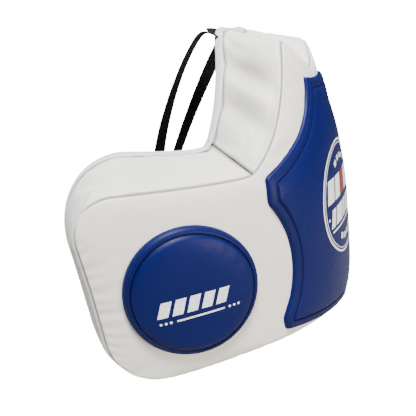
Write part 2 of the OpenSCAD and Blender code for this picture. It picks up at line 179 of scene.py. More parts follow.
def wing_top_line(k, p):
    """From the fold to the middle of the wing's top corner."""
    r = TOP_R + TOP_GROWTH * p
    c, crest = REAR_U + REAR_BEVEL * p - r, WING_Z + WING_RISE * p
    u, turn = to_corner(k, c, r)
    t = np.clip((u - FOLD_U) / (c - FOLD_U), 0, 1)
    flat = mix(fold_z(p), crest, t) - mix(SAG_FRONT, SAG_BACK, p) * np.sin(math.pi * np.sqrt(t))
    return u, np.where(turn > 0, crest - r * (1 - np.cos(turn)), flat)


def wing_rear_line(k, p):
    """From the middle of the foot corner up to the middle of the top corner."""
    r, fr, rear = TOP_R + TOP_GROWTH * p, FOOT_R + FOOT_GROWTH * p, REAR_U + REAR_BEVEL * p
    low, high = foot_z(rear, p) + fr, WING_Z + WING_RISE * p - r
    foot_arc, top_arc = fr * math.pi / 4, r * math.pi / 4
    along = k * (foot_arc + high - low + top_arc)
    a = math.pi / 4 + along / fr
    b = (along - foot_arc - (high - low)) / r
    u = np.where(along < foot_arc, rear - fr * (1 - np.sin(a)),
                 np.where(b > 0, rear - r * (1 - np.cos(np.maximum(0, b))), rear))
    z = np.where(along < foot_arc, foot_z(u, p) + fr * (1 - np.cos(a)),
                 np.where(b > 0, high + r * np.sin(np.maximum(0, b)), low + along - foot_arc))
    return u, z


def wing_foot_line(k, p):
    """From the fold to the middle of the foot corner."""
    r = FOOT_R + FOOT_GROWTH * p
    u, turn = to_corner(k, REAR_U + REAR_BEVEL * p - r, r)
    return u, foot_z(u, p) + r * (1 - np.cos(turn))


NECK_N, ARM_N, WING_N, ROW_N = 9, 16, 30, 36  # spans of the simulated grid


def patch(foot, top, near, far, s, t):
    """Grid filled between four sides: foot and top run with s, near and far with t."""
    extra = (1,) * (foot.ndim - 1)
    s, t = s.reshape((-1, 1) + extra), t.reshape((1, -1) + extra)
    corners = mix(mix(near[0], near[-1], t), mix(far[0], far[-1], t), s)
    return mix(near[None], far[None], s) + mix(foot[:, None], top[:, None], t) - corners


def face_uz(a, b, p):
    """Half of the front face (p 0) or back lining (p 1): a counts spans from the middle, b from the foot."""
    a, b = np.asarray(a, float), np.asarray(b, float)
    side, c = np.where(a < 0, -1.0, 1.0), np.abs(a)
    u_neck, z_neck = neck_line(np.clip(c / NECK_N, 0, 1), p)
    u_arm, z_arm = arm_line(np.clip((c - NECK_N) / ARM_N, 0, 1), p)
    u_top, z_top = np.where(c < NECK_N, u_neck, u_arm), np.where(c < NECK_N, z_neck, z_arm)
    t = b / ROW_N
    chest_u = np.repeat(u_top[:, None], len(b), 1)
    chest_z = mix(foot_z(u_top, p)[:, None], z_top[:, None], t)
    s = np.clip((c - NECK_N - ARM_N) / WING_N, 0, 1)
    tu, tz = wing_top_line(s, p)
    fu, fz = wing_foot_line(s, p)
    ru, rz = wing_rear_line(t, p)
    wing_u = patch(fu, tu, np.full(len(b), FOLD_U), ru, s, t)
    wing_z = patch(fz, tz, mix(foot_z(FOLD_U, p), fold_z(p), t), rz, s, t)
    wing = (c > NECK_N + ARM_N)[:, None]
    return side[:, None] * np.where(wing, wing_u, chest_u), np.where(wing, wing_z, chest_z)


def rim_uz(cols, rows, p):
    """Edge of the wing from the fold along the top, down the rear and back along the foot to the middle."""
    wing = (cols[cols >= NECK_N + ARM_N] - NECK_N - ARM_N) / WING_N
    chest = cols[cols <= NECK_N + ARM_N]
    parts = [wing_top_line(wing, p), tuple(v[::-1][1:] for v in wing_rear_line(rows / ROW_N, p)),
             tuple(v[::-1][1:] for v in wing_foot_line(wing, p))]
    u, z = face_uz(chest, np.array([0.0]), p)
    parts.append((u[::-1, 0][1:], z[::-1, 0][1:]))
    return np.concatenate([q[0] for q in parts]), np.concatenate([q[1] for q in parts])


# ---- Grids and their smooth resampling
def spline(grid, x):
    """Smooth samples of grid along its first axis at positions x, counted in spans."""
    n = len(grid)
    i = np.clip(np.floor(x).astype(int), 0, n - 2)
    t = (x - i).reshape((-1,) + (1,) * (grid.ndim - 1))
    a, b, c, d = (grid[np.clip(i + k, 0, n - 1)] for k in (-1, 0, 1, 2))
    square, cube = 2 * a - 5 * b + 4 * c - d, 3 * b - a - 3 * c + d
    return 0.5 * (2 * b + (c - a) * t + square * t ** 2 + cube * t ** 3)


def unit(v):
    return v / np.maximum(1e-9, np.linalg.norm(v, axis=-1, keepdims=True))


def travelled(path):
    """Distance along a path at each of its points."""
    return np.concatenate([[0], np.cumsum(np.linalg.norm(np.diff(path, axis=0), axis=1))])


def looped(path):
    """A closed path with its first point again at the end."""
    return np.concatenate([path, path[:1]])


def store_seam(obj, values):
    """Gives each point its share of seam shadow, which the leather materials read."""
    layer = obj.data.attributes.new("seam", "FLOAT", "POINT")
    layer.data.foreach_set("value", np.asarray(values, np.float32))


def fine(start, stop, step, seam_start=True):
    """Positions from start to stop with extra ones close to the seams at the ends."""
    near = np.array([0, 0.07, 0.15, 0.27, 0.45, 0.7])
    low = near if seam_start else near[:1]
    inner = np.arange(start + 1, stop - 1 + 1e-6, step)
    return np.unique(np.round(np.concatenate([start + low, inner, stop - near]), 4))


def grid_faces(n, m, wrap=False):
    last = n if wrap else n - 1
    i, j = np.meshgrid(np.arange(last), np.arange(m - 1), indexing="ij")
    a, b = i * m + j, ((i + 1) % n) * m + j
    return np.stack([a, b, b + 1, a + 1], -1).reshape(-1, 4)


def new_object(name, points, faces, mats, uv=None, face_mats=None, smooth=True):
    mesh = bpy.data.meshes.new(name)
    mesh.from_pydata((np.asarray(points) * MM).tolist(), [], [list(map(int, f)) for f in faces])
    if uv is not None:
        layer = mesh.uv_layers.new(name="UVMap")
        index = np.zeros(len(mesh.loops), int)
        mesh.loops.foreach_get("vertex_index", index)
        layer.data.foreach_set("uv", (np.asarray(uv, float)[index] * MM).ravel())
    for m in mats if isinstance(mats, (list, tuple)) else [mats]:
        mesh.materials.append(m)
    if face_mats is not None:
        mesh.polygons.foreach_set("material_index", np.asarray(face_mats, np.int32))
    mesh.polygons.foreach_set("use_smooth", np.full(len(mesh.polygons), smooth))
    mesh.validate()
    mesh.update()
    obj = bpy.data.objects.new(name, mesh)
    bpy.context.scene.collection.objects.link(obj)
    return obj


def lengths_uv(grid):
    """Distances along both directions of a grid, so that a weave keeps its scale."""
    du = np.concatenate([[0], np.cumsum(np.linalg.norm(np.diff(grid, axis=0), axis=-1).mean(1))])
    dv = np.concatenate([[0], np.cumsum(np.linalg.norm(np.diff(grid, axis=1), axis=-1).mean(0))])
    return np.stack(np.meshgrid(du, dv, indexing="ij"), -1).reshape(-1, 2)


def faces_out(points, faces, outward):
    """The faces turned so that their normals point along outward, given per point."""
    a, b, c, d = (points[faces[:, k]] for k in range(4))
    normal = np.cross(c - a, d - b)
    if (normal * outward[faces[:, 0]]).sum() < 0:
        return faces[:, ::-1]
    return faces


def sheet_pair(name, grid, outward, mats, sides=("left", "right")):
    """A grid sheet on the +X side and its mirror image, as {side: object}."""
    out = {}
    for side in sides:
        sign = mirror_of(side)
        pts = grid.reshape(-1, 3) * sign
        faces = faces_out(pts, grid_faces(*grid.shape[:2]), outward.reshape(-1, 3) * sign)
        out[side] = new_object(f"{name}_{side}" if len(sides) > 1 else name, pts, faces, mats,
                               lengths_uv(grid))
    return out


# ---- Outline of the centre panel and profiles of the pads' sewn edges
PANEL_SPANS = 24
BAND_IN = [0.0, 0.15, 0.6, 1.8, 4.0, 6.5, 7.6, 8.3, 9.0, 9.9, 11.5]        # distance in from the edge
BAND_UP = [-3.5, 0.8, 4.0, 6.0, 7.8, 8.8, 8.7, 7.2, 7.4, 9.2, 10.4]        # height above the face
PANEL_IN = [0.0, 0.15, 0.6, 1.6, 3.6, 7.5, 11.0, 12.0, 12.8, 13.6, 15.0, 17.0]
PANEL_UP = [-3.5, 0.8, 3.2, 4.6, 5.4, 6.4, 7.0, 6.9, 5.4, 5.6, 7.2, 8.4]


def straight(a, b, n):
    return np.array(a) + (np.array(b) - np.array(a)) * np.linspace(0, 1, n + 1)[:, None]


def quad_bezier(a, b, c, n):
    t = np.linspace(0, 1, n + 1)[:, None]
    return np.array(a) * (1 - t) ** 2 + np.array(b) * 2 * t * (1 - t) + np.array(c) * t * t


def panel_half():
    """Outline of the centre panel's +X half, from the middle of its foot to the middle of its top."""
    corner, knee, brow, top = (182.0, 55.0), (184.0, 73.0), (178.0, 276.0), (46.0, 384.0)
    turn = np.radians(np.linspace(202, 145, 19))
    waist = np.stack([PAD_U + 147 * np.cos(turn), PAD_Z + 147 * np.sin(turn)], -1)
    lower = np.concatenate([straight(knee, waist[0], 4)[:-1], waist])
    dip = straight(top, (0.0, 380.0), PANEL_SPANS)
    dip[:, 1] = 384 - 4 * (1 - (dip[:, 0] / 46) ** 2)
    return [straight((0.0, 13.0), corner, PANEL_SPANS), straight(corner, knee, 4), lower,
            straight(waist[-1], brow, 6), quad_bezier(brow, (60.0, 320.0), top, 22), dip]


def leftwards(path):
    along = np.gradient(path, axis=0)
    return unit(np.stack([-along[:, 1], along[:, 0]], -1))


MITRE_REACH = 45.0   # how far from a corner the outline is drawn over to its mitre


def offset_half(stretches, d):
    """The same stretches moved in by d, with mitred corners."""
    normals = [leftwards(s) for s in stretches]
    flip = np.array([-1.0, 1.0])
    out = []
    for i, (s, n) in enumerate(zip(stretches, normals)):
        before = n[0] * flip if i == 0 else normals[i - 1][-1]
        after = n[-1] * flip if i == len(stretches) - 1 else normals[i + 1][0]
        moved = s + d * n
        travel = travelled(s)
        reach = min(MITRE_REACH, travel[-1])
        ends = ((s[0], before, n[0], travel), (s[-1], after, n[-1], travel[-1] - travel))
        for corner, neighbour, own, there in ends:
            mitre = corner + d * (neighbour + own) / (1 + neighbour @ own)
            moved = moved + np.clip(1 - there / reach, 0, 1)[:, None] * (mitre - corner - d * own)
        out.append(moved)
    return out


def panel_sides(d):
    """Foot, +X side, top and -X side of the panel outline moved in by d."""
    half = offset_half(panel_half(), d)
    flip = np.array([-1.0, 1.0])
    foot = np.concatenate([half[0][::-1] * flip, half[0][1:]])
    top = np.concatenate([half[-1] * flip, half[-1][::-1][1:]])
    side = np.concatenate([half[1]] + [s[1:] for s in half[2:-1]])
    return foot, side, top, side * flip


def panel_ring(d):
    foot, right, top, left = panel_sides(d)
    return np.concatenate([foot[:-1], right[:-1], top[::-1][:-1], left[::-1][:-1]])


def panel_fill(d):
    """Grid over the panel inside the outline moved in by d."""
    foot, right, top, left = panel_sides(d)
    return patch(foot, top, left, right, np.linspace(0, 1, len(foot)), np.linspace(0, 1, len(right)))


PAD_TURNS = 96
PAD_RADII = np.concatenate([[PAD_R - BAND_IN[-1]], np.linspace(PAD_R - BAND_IN[-1] - 2, 2.0, 14)])


def circle_uz(radii):
    a = np.linspace(0, 2 * math.pi, PAD_TURNS, endpoint=False)[:, None]
    return np.stack([PAD_U + np.cos(a) * radii, PAD_Z + np.sin(a) * radii], -1)


# ---- Cloth: every padded skin is blown up over its foam in one simulation
SIM_COLS = np.arange(-5.0, NECK_N + ARM_N + WING_N + 1)
SIM_ROWS = np.arange(0.0, ROW_N + 1)
SIM_P = np.linspace(0, 1, 12)
SIM_FRAMES, PRESSURE = 20, 8.0
SLACK = -0.012   # a negative shrink lets the cloth grow, so that the skin fills out
NECK_SIM = 7     # simulated spans of the neck strip on each side of the middle
RISE = {"face": 4.5, "rim": 2.6, "arm": 3.6, "neck": 3.2, "panel": 4.5, "pad": 5.0}   # most a skin may rise


def strip_outward(grid_u, grid):
    """Outward direction of an edge strip: across its path and its depth."""
    normal = unit(np.cross(np.gradient(grid, axis=0), inward(grid_u)))
    return normal if ((grid - INSIDE) * normal).sum() > 0 else -normal


def edge_grid(path, depths):
    """Edge strip: path(p) gives u and z at each depth share p."""
    uz = [path(p) for p in depths]
    grid = np.stack([skin(u, z, p * THICK) for (u, z), p in zip(uz, depths)], 1)
    return np.stack([u for u, _ in uz], 1), grid


def pinned(n, m, wrap):
    mask = np.zeros((n, m), bool)
    mask[:, 0] = True
    if not wrap:
        mask[0], mask[-1], mask[:, -1] = True, True, True
    return mask


def padding_islands():
    """The skins of one half as (grid, outward direction, closed round, largest rise)."""
    u, z = face_uz(SIM_COLS, SIM_ROWS, 0.0)
    islands = [(skin(u, z, 0), -inward(u), False, RISE["face"])]
    for path, cap in ((lambda p: rim_uz(SIM_COLS, SIM_ROWS, p), RISE["rim"]),
                      (lambda p: arm_line(np.linspace(0, 1, ARM_N + 1), p), RISE["arm"]),
                      (lambda p: neck_line(np.linspace(-1, 1, 2 * NECK_SIM + 1), p), RISE["neck"])):
        u, grid = edge_grid(path, SIM_P)
        islands.append((grid, strip_outward(u, grid), False, cap))
    for flat, closed, cap in ((panel_fill(PANEL_IN[-1]), False, RISE["panel"]),
                              (circle_uz(PAD_RADII), True, RISE["pad"])):
        islands.append((skin(flat[..., 0], flat[..., 1], -20), -inward(flat[..., 0]), closed, cap))
    return islands


def inflate(rest, faces, pins):
    """Blows up one mesh with the cloth solver and returns how far each point moved."""
    obj = new_object("sim", rest, faces, bpy.data.materials.new("sim"))
    obj.vertex_groups.new(name="pin").add([int(i) for i in pins], 1.0, "REPLACE")
    cloth = obj.modifiers.new("Cloth", "CLOTH")
    cloth.settings.quality = 6
    cloth.settings.mass = 0.3
    cloth.settings.use_pressure = True
    cloth.settings.uniform_pressure_force = PRESSURE
    cloth.settings.shrink_min = SLACK
    cloth.settings.effector_weights.gravity = 0
    cloth.settings.vertex_group_mass = "pin"
    cloth.point_cache.frame_start, cloth.point_cache.frame_end = 1, SIM_FRAMES
    scene = bpy.context.scene
    for f in range(1, SIM_FRAMES + 1):
        scene.frame_set(f)
    evaluated = obj.evaluated_get(bpy.context.evaluated_depsgraph_get())
    co = np.zeros(len(rest) * 3)
    evaluated.data.vertices.foreach_get("co", co)
    scene.frame_set(1)
    bpy.data.objects.remove(obj)
    return co.reshape(-1, 3) / MM - rest


def simulate(islands):
    """Inflates all islands in one cloth run and returns how far each point moved."""
    points, faces, pins, start = [], [], [], 0
    for grid, outward, closed, _ in islands:
        n, m = grid.shape[:2]
        faces.append(faces_out(grid.reshape(-1, 3), grid_faces(n, m, closed), outward.reshape(-1, 3)) + start)
        points.append(grid.reshape(-1, 3))
        pins.append(np.flatnonzero(pinned(n, m, closed).ravel()) + start)
        start += n * m
    moved = inflate(np.concatenate(points), np.concatenate(faces), np.concatenate(pins))
    out, start = [], 0
    for grid, *_ in islands:
        count = grid.shape[0] * grid.shape[1]
        out.append(moved[start:start + count].reshape(grid.shape))
        start += count
    return out


def swell(islands):
    """Displacement of each island, with its largest rise held to the island's own limit."""
    out = []
    for (_, _, _, cap), moved in zip(islands, simulate(islands)):
        size = np.linalg.norm(moved, axis=-1, keepdims=True)
        out.append(moved / np.maximum(size, 1e-6) * cap * np.tanh(size / cap))
    return out


move_face, move_rim, move_arm, move_neck, move_panel, move_pad = swell(padding_islands())


# ---- Materials
def new_material(name, roughness, coat=0.0, sheen=0.0, metallic=0.0, shine=0.5):
    mat = bpy.data.materials.new(name)
    mat.use_nodes = True
    bsdf = mat.node_tree.nodes["Principled BSDF"]
    for socket, value in (("Roughness", roughness), ("Coat Weight", coat), ("Coat Roughness", 0.35),
                          ("Sheen Weight", sheen), ("Metallic", metallic), ("Specular IOR Level", shine)):
        bsdf.inputs[socket].default_value = value
    return mat, mat.node_tree, bsdf


def add(tree, kind, sources, **values):
    """A new shader node: sources link its inputs, values set its inputs."""
    node = tree.nodes.new(kind)
    for socket, source in sources.items():
        tree.links.new(source, node.inputs[socket])
    for socket, value in values.items():
        node.inputs[socket.replace("_", " ")].default_value = value
    return node


def ramp(tree, source, low, high, dark, light):
    """Colour between dark and light as source goes from low to high."""
    node = add(tree, "ShaderNodeValToRGB", {"Fac": source})
    for element, place, colour in zip(node.color_ramp.elements, (low, high), (dark, light)):
        element.position = place
        element.color = (*colour, 1)
    return node.outputs["Color"]


def grey(value):
    return (value, value, value)


def shade(colour, factor):
    return tuple(min(1.0, c * factor) for c in colour)


def multiply(tree, a, b, share):
    node = tree.nodes.new("ShaderNodeMix")
    node.data_type, node.blend_type = "RGBA", "MULTIPLY"
    node.inputs[0].default_value = share
    tree.links.new(a, node.inputs[6])
    tree.links.new(b, node.inputs[7])
    return node.outputs[2]


def finish_material(tree, bsdf, colour, rough, bumps):
    """Joins colour, roughness and a chain of bumps (height, strength, millimetres) to the surface."""
    tree.links.new(colour, bsdf.inputs["Base Color"])
    tree.links.new(rough, bsdf.inputs["Roughness"])
    normal = None
    for height, strength, distance in bumps:
        node = add(tree, "ShaderNodeBump", {"Height": height}, Strength=strength, Distance=distance * MM)
        if normal:
            tree.links.new(normal, node.inputs["Normal"])
        normal = node.outputs["Normal"]
    tree.links.new(normal, bsdf.inputs["Normal"])


def leather(name, colour, roughness, grain, coat, shine):
    """Smooth synthetic leather: fine pebble grain, soft mottling, slight waves, colour darker in hollows and
    lighter on rounded edges, and painted shadow along seams, in hollows and in grooves.
    """
    mat, tree, bsdf = new_material(name, roughness, coat, shine=shine)
    place = add(tree, "ShaderNodeTexCoord", {}).outputs["Object"]
    pebble = add(tree, "ShaderNodeTexVoronoi", {"Vector": place}, Scale=1100.0).outputs["Distance"]
    crease = add(tree, "ShaderNodeTexNoise", {"Vector": place}, Scale=380.0, Detail=4.0).outputs["Fac"]
    cloud = add(tree, "ShaderNodeTexNoise", {"Vector": place}, Scale=13.0, Detail=3.0).outputs["Fac"]
    wave = add(tree, "ShaderNodeTexNoise", {"Vector": place}, Scale=24.0, Detail=1.0).outputs["Fac"]
    edge = add(tree, "ShaderNodeNewGeometry", {}).outputs["Pointiness"]
    tint = ramp(tree, cloud, 0.3, 0.7, shade(colour, 0.96), shade(colour, 1.03))
    # Colour darker where the surface curves inwards and lighter on rounded edges.
    curvature_tone = ramp(tree, edge, 0.46, 0.54, grey(0.88), grey(1.0))
    # Painted shadow: the seam attribute darkens the colour along seams, in the armhole hollows and in the
    # pads' sewn grooves.
    seam = tree.nodes.new("ShaderNodeAttribute")
    seam.attribute_name = "seam"
    shadow = ramp(tree, seam.outputs["Fac"], 0.0, 1.0, grey(1.0), grey(0.30))
    rough = ramp(tree, crease, 0.3, 0.7, grey(roughness - 0.05), grey(roughness + 0.07))
    finish_material(tree, bsdf, multiply(tree, multiply(tree, tint, curvature_tone, 0.7), shadow, 1.0), rough,
                    [(wave, 0.35, 1.2), (crease, grain, 0.4), (pebble, grain, 0.3)])
    return mat


def woven(name, colour, pitch, roughness, ribs, sheen, shine=0.5):
    """Woven tape: two crossing thread directions, scaled by the piece's own lengths, with fuzz."""
    mat, tree, bsdf = new_material(name, roughness, 0.0, sheen, 0.0, shine)
    place = add(tree, "ShaderNodeTexCoord", {}).outputs["UV"]
    threads = []
    scale = math.pi / (10 * pitch * MM)
    for direction in ("X", "Y"):
        node = add(tree, "ShaderNodeTexWave", {"Vector": place}, Scale=scale, Distortion=0.4)
        node.bands_direction = direction
        threads.append(node.outputs["Fac"])
    cross = tree.nodes.new("ShaderNodeMath")
    cross.operation = "MULTIPLY"
    for source, socket in zip(threads, cross.inputs):
        tree.links.new(source, socket)
    fuzz = add(tree, "ShaderNodeTexNoise", {"Vector": place}, Scale=900.0, Detail=3.0).outputs["Fac"]
    tint = ramp(tree, cross.outputs["Value"], 0.0, 1.0, shade(colour, 0.6), shade(colour, 1.3))
    rough = ramp(tree, fuzz, 0.3, 0.7, grey(roughness - 0.1), grey(roughness + 0.1))
    finish_material(tree, bsdf, tint, rough, [(fuzz, 0.2, 0.2), (cross.outputs["Value"], ribs, 0.4)])
    return mat


def speckled(name, colour, scale, roughness, depth, metallic=0.0):
    """Fibrous, cellular or cast surface: hook and loop tapes, foam, print film, thread and wire."""
    mat, tree, bsdf = new_material(name, roughness, metallic=metallic)
    place = add(tree, "ShaderNodeTexCoord", {}).outputs["Object"]
    dots = add(tree, "ShaderNodeTexNoise", {"Vector": place}, Scale=scale, Detail=5.0).outputs["Fac"]
    tint = ramp(tree, dots, 0.35, 0.7, shade(colour, 0.82), shade(colour, 1.1))
    rough = ramp(tree, dots, 0.3, 0.7, grey(roughness - 0.06), grey(roughness + 0.08))
    finish_material(tree, bsdf, tint, rough, [(dots, 0.5, depth)])
    return mat


WHITE = leather("white_leather", (0.82, 0.79, 0.73), 0.48, 0.10, 0.05, 0.35)
BLUE = leather("blue_leather", (0.0010, 0.0040, 0.066), 0.45, 0.16, 0.0, 0.14)
TAPE = woven("white_binding", (0.86, 0.86, 0.85), 0.8, 0.55, 0.25, 0.0)
LINING = woven("black_lining", (0.016, 0.016, 0.018), 0.9, 0.7, 0.5, 0.0, 0.3)
WEB = woven("black_webbing", (0.004, 0.004, 0.005), 1.6, 0.7, 0.9, 0.0, 0.25)
HOOK = speckled("hook_tape", (0.02, 0.02, 0.022), 1500.0, 0.55, 1.0)
LOOP = speckled("loop_tape", (0.012, 0.012, 0.013), 700.0, 0.85, 1.2)
FIRM = speckled("firm_foam", (0.74, 0.72, 0.66), 500.0, 0.85, 0.6)
SOFT = speckled("soft_foam", (0.32, 0.34, 0.37), 350.0, 0.85, 0.9)
PRINT = speckled("white_print", (0.80, 0.82, 0.86), 240.0, 0.42, 0.1)
RED = speckled("red_print", (0.22, 0.004, 0.008), 240.0, 0.42, 0.1)
STEEL = speckled("steel_ring", (0.60, 0.60, 0.61), 300.0, 0.28, 0.05, 1.0)
WHITE_THREAD = speckled("white_thread", (0.78, 0.78, 0.77), 2500.0, 0.6, 0.2)
BLUE_THREAD = speckled("blue_thread", (0.001, 0.003, 0.02), 900.0, 0.8, 0.2)
BLACK_THREAD = speckled("black_thread", (0.03, 0.03, 0.032), 2500.0, 0.6, 0.2)


def bend_wing(obj):
    """Bakes obj's placement into its mesh."""
    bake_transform(obj)


def dress(obj, nodes, body, side="", levels=1):
    """Finishes a piece: rounding, the CAD nodes it stands for, and what it rides on."""
    if levels:
        modifier = obj.modifiers.new("Subdivision", "SUBSURF")
        modifier.levels = modifier.render_levels = levels
    if nodes:
        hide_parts(*[n.format(side=side) for n in nodes])
    if body == "fold":
        bend_wing(obj)
    else:
        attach(obj, body.format(side=side))


def dress_pair(pair, nodes, body):
    for side, obj in pair.items():
        dress(obj, nodes, body, side)


# ---- The padded skins, resampled finely, with a rolled-in seam round each
SEAM_DEPTH, SEAM_WIDTH = 3.8, 2.1
# Painted shadow: its reach from a seam in mm, and its strength in the armhole hollows.
SEAM_SHADE, HOLLOW_SHADE = 2.0, 0.42
TAPE_STEP = 0.885   # share of the depth where the binding tape begins
LINING_PUFF, LINING_SUNK = 1.6, 0.6
ARM_DIP = 9.5   # depth of the armhole's deepest hollow
# Waves across the strips as (height, place along the strip, width); hollows are positive.
TAPE_DENT = ((1.6, TAPE_STEP, 0.02),)
ARM_HOLLOWS, ARM_RIDGE = ((1.0, 0.27, 0.08), (0.9, 0.57, 0.10)), ((-2.0, 0.4, 0.05),)
NECK_WAVES = ((4.5, 0.42, 0.14), (-1.5, 0.75, 0.12))
COLS = np.unique(np.concatenate([np.arange(0, NECK_N + ARM_N, 0.5),
                                 fine(NECK_N + ARM_N, NECK_N + ARM_N + WING_N, 0.5, seam_start=False)]))
ROWS = fine(0, ROW_N, 0.5)
P_FINE = np.concatenate([[0, 0.008, 0.02, 0.035], np.linspace(0.06, 0.84, 20),
                         [0.865, 0.885, 0.905, 0.94, 1.0]])
TAPE_COL = int(np.argmin(np.abs(P_FINE - TAPE_STEP)))
ARM_K = (COLS[(COLS >= NECK_N) & (COLS <= NECK_N + ARM_N)] - NECK_N) / ARM_N
NECK_K = COLS[COLS <= NECK_N] / NECK_N


def across_edge(points, u):
    """Direction from an edge of the padding inwards, along the face."""
    across = unit(np.cross(np.gradient(points, axis=0), inward(u)))
    return -across if ((INSIDE - points) * across).sum() < 0 else across


def seam_pull(points, u):
    """Direction a seam is drawn in: halfway between the depth and the way across the face."""
    return unit(across_edge(points, u) + inward(u))


def sink(grid, edge, pull):
    away = np.linalg.norm(grid - edge, axis=-1, keepdims=True)
    return grid + pull * SEAM_DEPTH * np.exp(-(away / SEAM_WIDTH) ** 2)


def paint_seam_shadow(pair, raw, edges, hollow=0.0):
    """Stores painted shadow for the leather's colour: how close each point lies to a seam, or how deep in a
    hollow.
    """
    away = np.min([np.linalg.norm(raw - edge, axis=-1) for edge in edges], axis=0).ravel()
    close = np.maximum(np.exp(-(away / SEAM_SHADE) ** 2), np.ravel(hollow * np.ones(raw.shape[:2])))
    for obj in pair.values():
        store_seam(obj, close)
    return pair


def spread(moved, rows, cols):
    """Displacement of a simulated grid at finer positions along both of its directions."""
    half = spline(moved, rows)
    return spline(half.transpose(1, 0, 2), cols).transpose(1, 0, 2)


def face_grid():
    u, z = face_uz(COLS, ROWS, 0.0)
    raw = skin(u, z, 0)
    step = spread(move_face, COLS - SIM_COLS[0], ROWS)
    step[0, :, 0] = 0
    grid = raw + step
    for index in (0, -1):
        grid = sink(grid, raw[:, index][:, None], seam_pull(raw[:, index], u[:, index])[:, None])
    # Painted shadow follows these seam lines.
    edges = [raw[:, :1], raw[:, -1:], raw[-1:]]
    return sink(grid, raw[-1][None], seam_pull(raw[-1], u[-1])[None]), u, raw, edges


def lining_grid():
    """The back lining lies flat on the foam and rises a little away from its seams."""
    u, z = face_uz(COLS, ROWS, 1.0)
    t = np.minimum(ROWS, ROW_N - ROWS) / ROW_N
    puff = LINING_PUFF * np.tanh(t / 0.05)[None, :] * np.tanh((COLS[-1] - COLS) / COLS[-1] / 0.03)[:, None]
    return skin(u, z, THICK + puff - LINING_SUNK), u


def strip_grid(path, positions, moved, mitres, dimples=None):
    """An edge strip at fine depths; positions count its points along the simulated strip.

    mitres says for each end whether it is drawn in to a seam, and dimples how deep its hollows are.
    """
    u, raw = edge_grid(path, P_FINE)
    out = strip_outward(u, raw)
    grid = raw + spread(moved, positions, P_FINE * (len(SIM_P) - 1))
    if dimples is not None:
        grid = grid - out * dimples[:, None, None] * np.sin(math.pi * P_FINE)[None, :, None]
    grid = grid - out * waves(P_FINE, TAPE_DENT)[None, :, None]
    grid = sink(grid, raw[:, :1], seam_pull(raw[:, 0], u[:, 0])[:, None])
    # Painted shadow runs along the seam, beside the binding tape and at mitred ends.
    edges = [raw[:, :1], raw[:, TAPE_COL:TAPE_COL + 1]]
    for end, used in zip((0, -1), mitres):
        if used:
            grid = sink(grid, raw[end][None], -out[end][None])
            edges.append(raw[end][None])
    grid[..., 2] = np.maximum(grid[..., 2], 0.9)
    return grid, out, raw, edges


def side_path(p):
    return rim_uz(COLS, ROWS, p)


def arm_path(p):
    return arm_line(ARM_K, p)


def neck_path(p):
    return neck_line(NECK_K, p)


def whole_neck_path(p):
    u, z = neck_path(p)
    return np.concatenate([-u[::-1], u[1:]]), np.concatenate([z[::-1], z[1:]])


def waves(k, bumps):
    return sum(height * np.exp(-((k - middle) / width) ** 2) for height, middle, width in bumps)


def leather_pair(name, grid, outward, raw, edges, nodes, hollow=0.0):
    pair = paint_seam_shadow(sheet_pair(name, grid, outward, WHITE), raw, edges, hollow)
    dress_pair(pair, nodes, "fold")


def build_face_and_lining():
    grid, u, raw, edges = face_grid()
    leather_pair("face_cover", grid, -inward(u), raw, edges, ["chest_face_cover", "wing_face_cover_{side}"])
    grid, u = lining_grid()
    dress_pair(sheet_pair("back_lining", grid, inward(u), LINING),
               ["chest_lining", "wing_lining_{side}"], "fold")


def build_side_gussets():
    sim_travel = travelled(skin(*rim_uz(SIM_COLS, SIM_ROWS, 0.0), 0))
    positions = np.interp(travelled(skin(*side_path(0), 0)), sim_travel, np.arange(len(sim_travel)))
    grid, out, raw, edges = strip_grid(side_path, positions, move_rim, (True, False))
    grid[-1, :, 0] = 0
    leather_pair("side_gusset", grid, out, raw, edges, ["wing_gusset_{side}", "chest_foot_gusset"])


def build_armhole_gussets():
    """Each has two hollows across it, as the strip is pulled tight round the armhole."""
    hollows = waves(ARM_K, ARM_HOLLOWS)
    dips = ARM_DIP * hollows + waves(ARM_K, ARM_RIDGE)
    grid, out, raw, edges = strip_grid(arm_path, ARM_K * ARM_N, move_arm, (False, True), dips)
    # Painted shadow in the two hollows, darkest at the middle of the strip.
    shaded = HOLLOW_SHADE * hollows[:, None] * np.sin(math.pi * P_FINE) ** 2
    leather_pair("armhole_gusset", grid, out, raw, edges, ["armhole_gusset_{side}"], shaded)


def build_neck_gusset():
    whole = np.concatenate([-NECK_K[::-1], NECK_K[1:]])
    positions, dips = (whole + 1) * NECK_SIM, waves(np.abs(whole), NECK_WAVES)
    grid, out, raw, edges = strip_grid(whole_neck_path, positions, move_neck, (False, False), dips)
    neck = paint_seam_shadow(sheet_pair("neck_gusset", grid, out, WHITE, sides=("left",)), raw, edges)["left"]
    dress(neck, ["neck_gusset"], "chest")


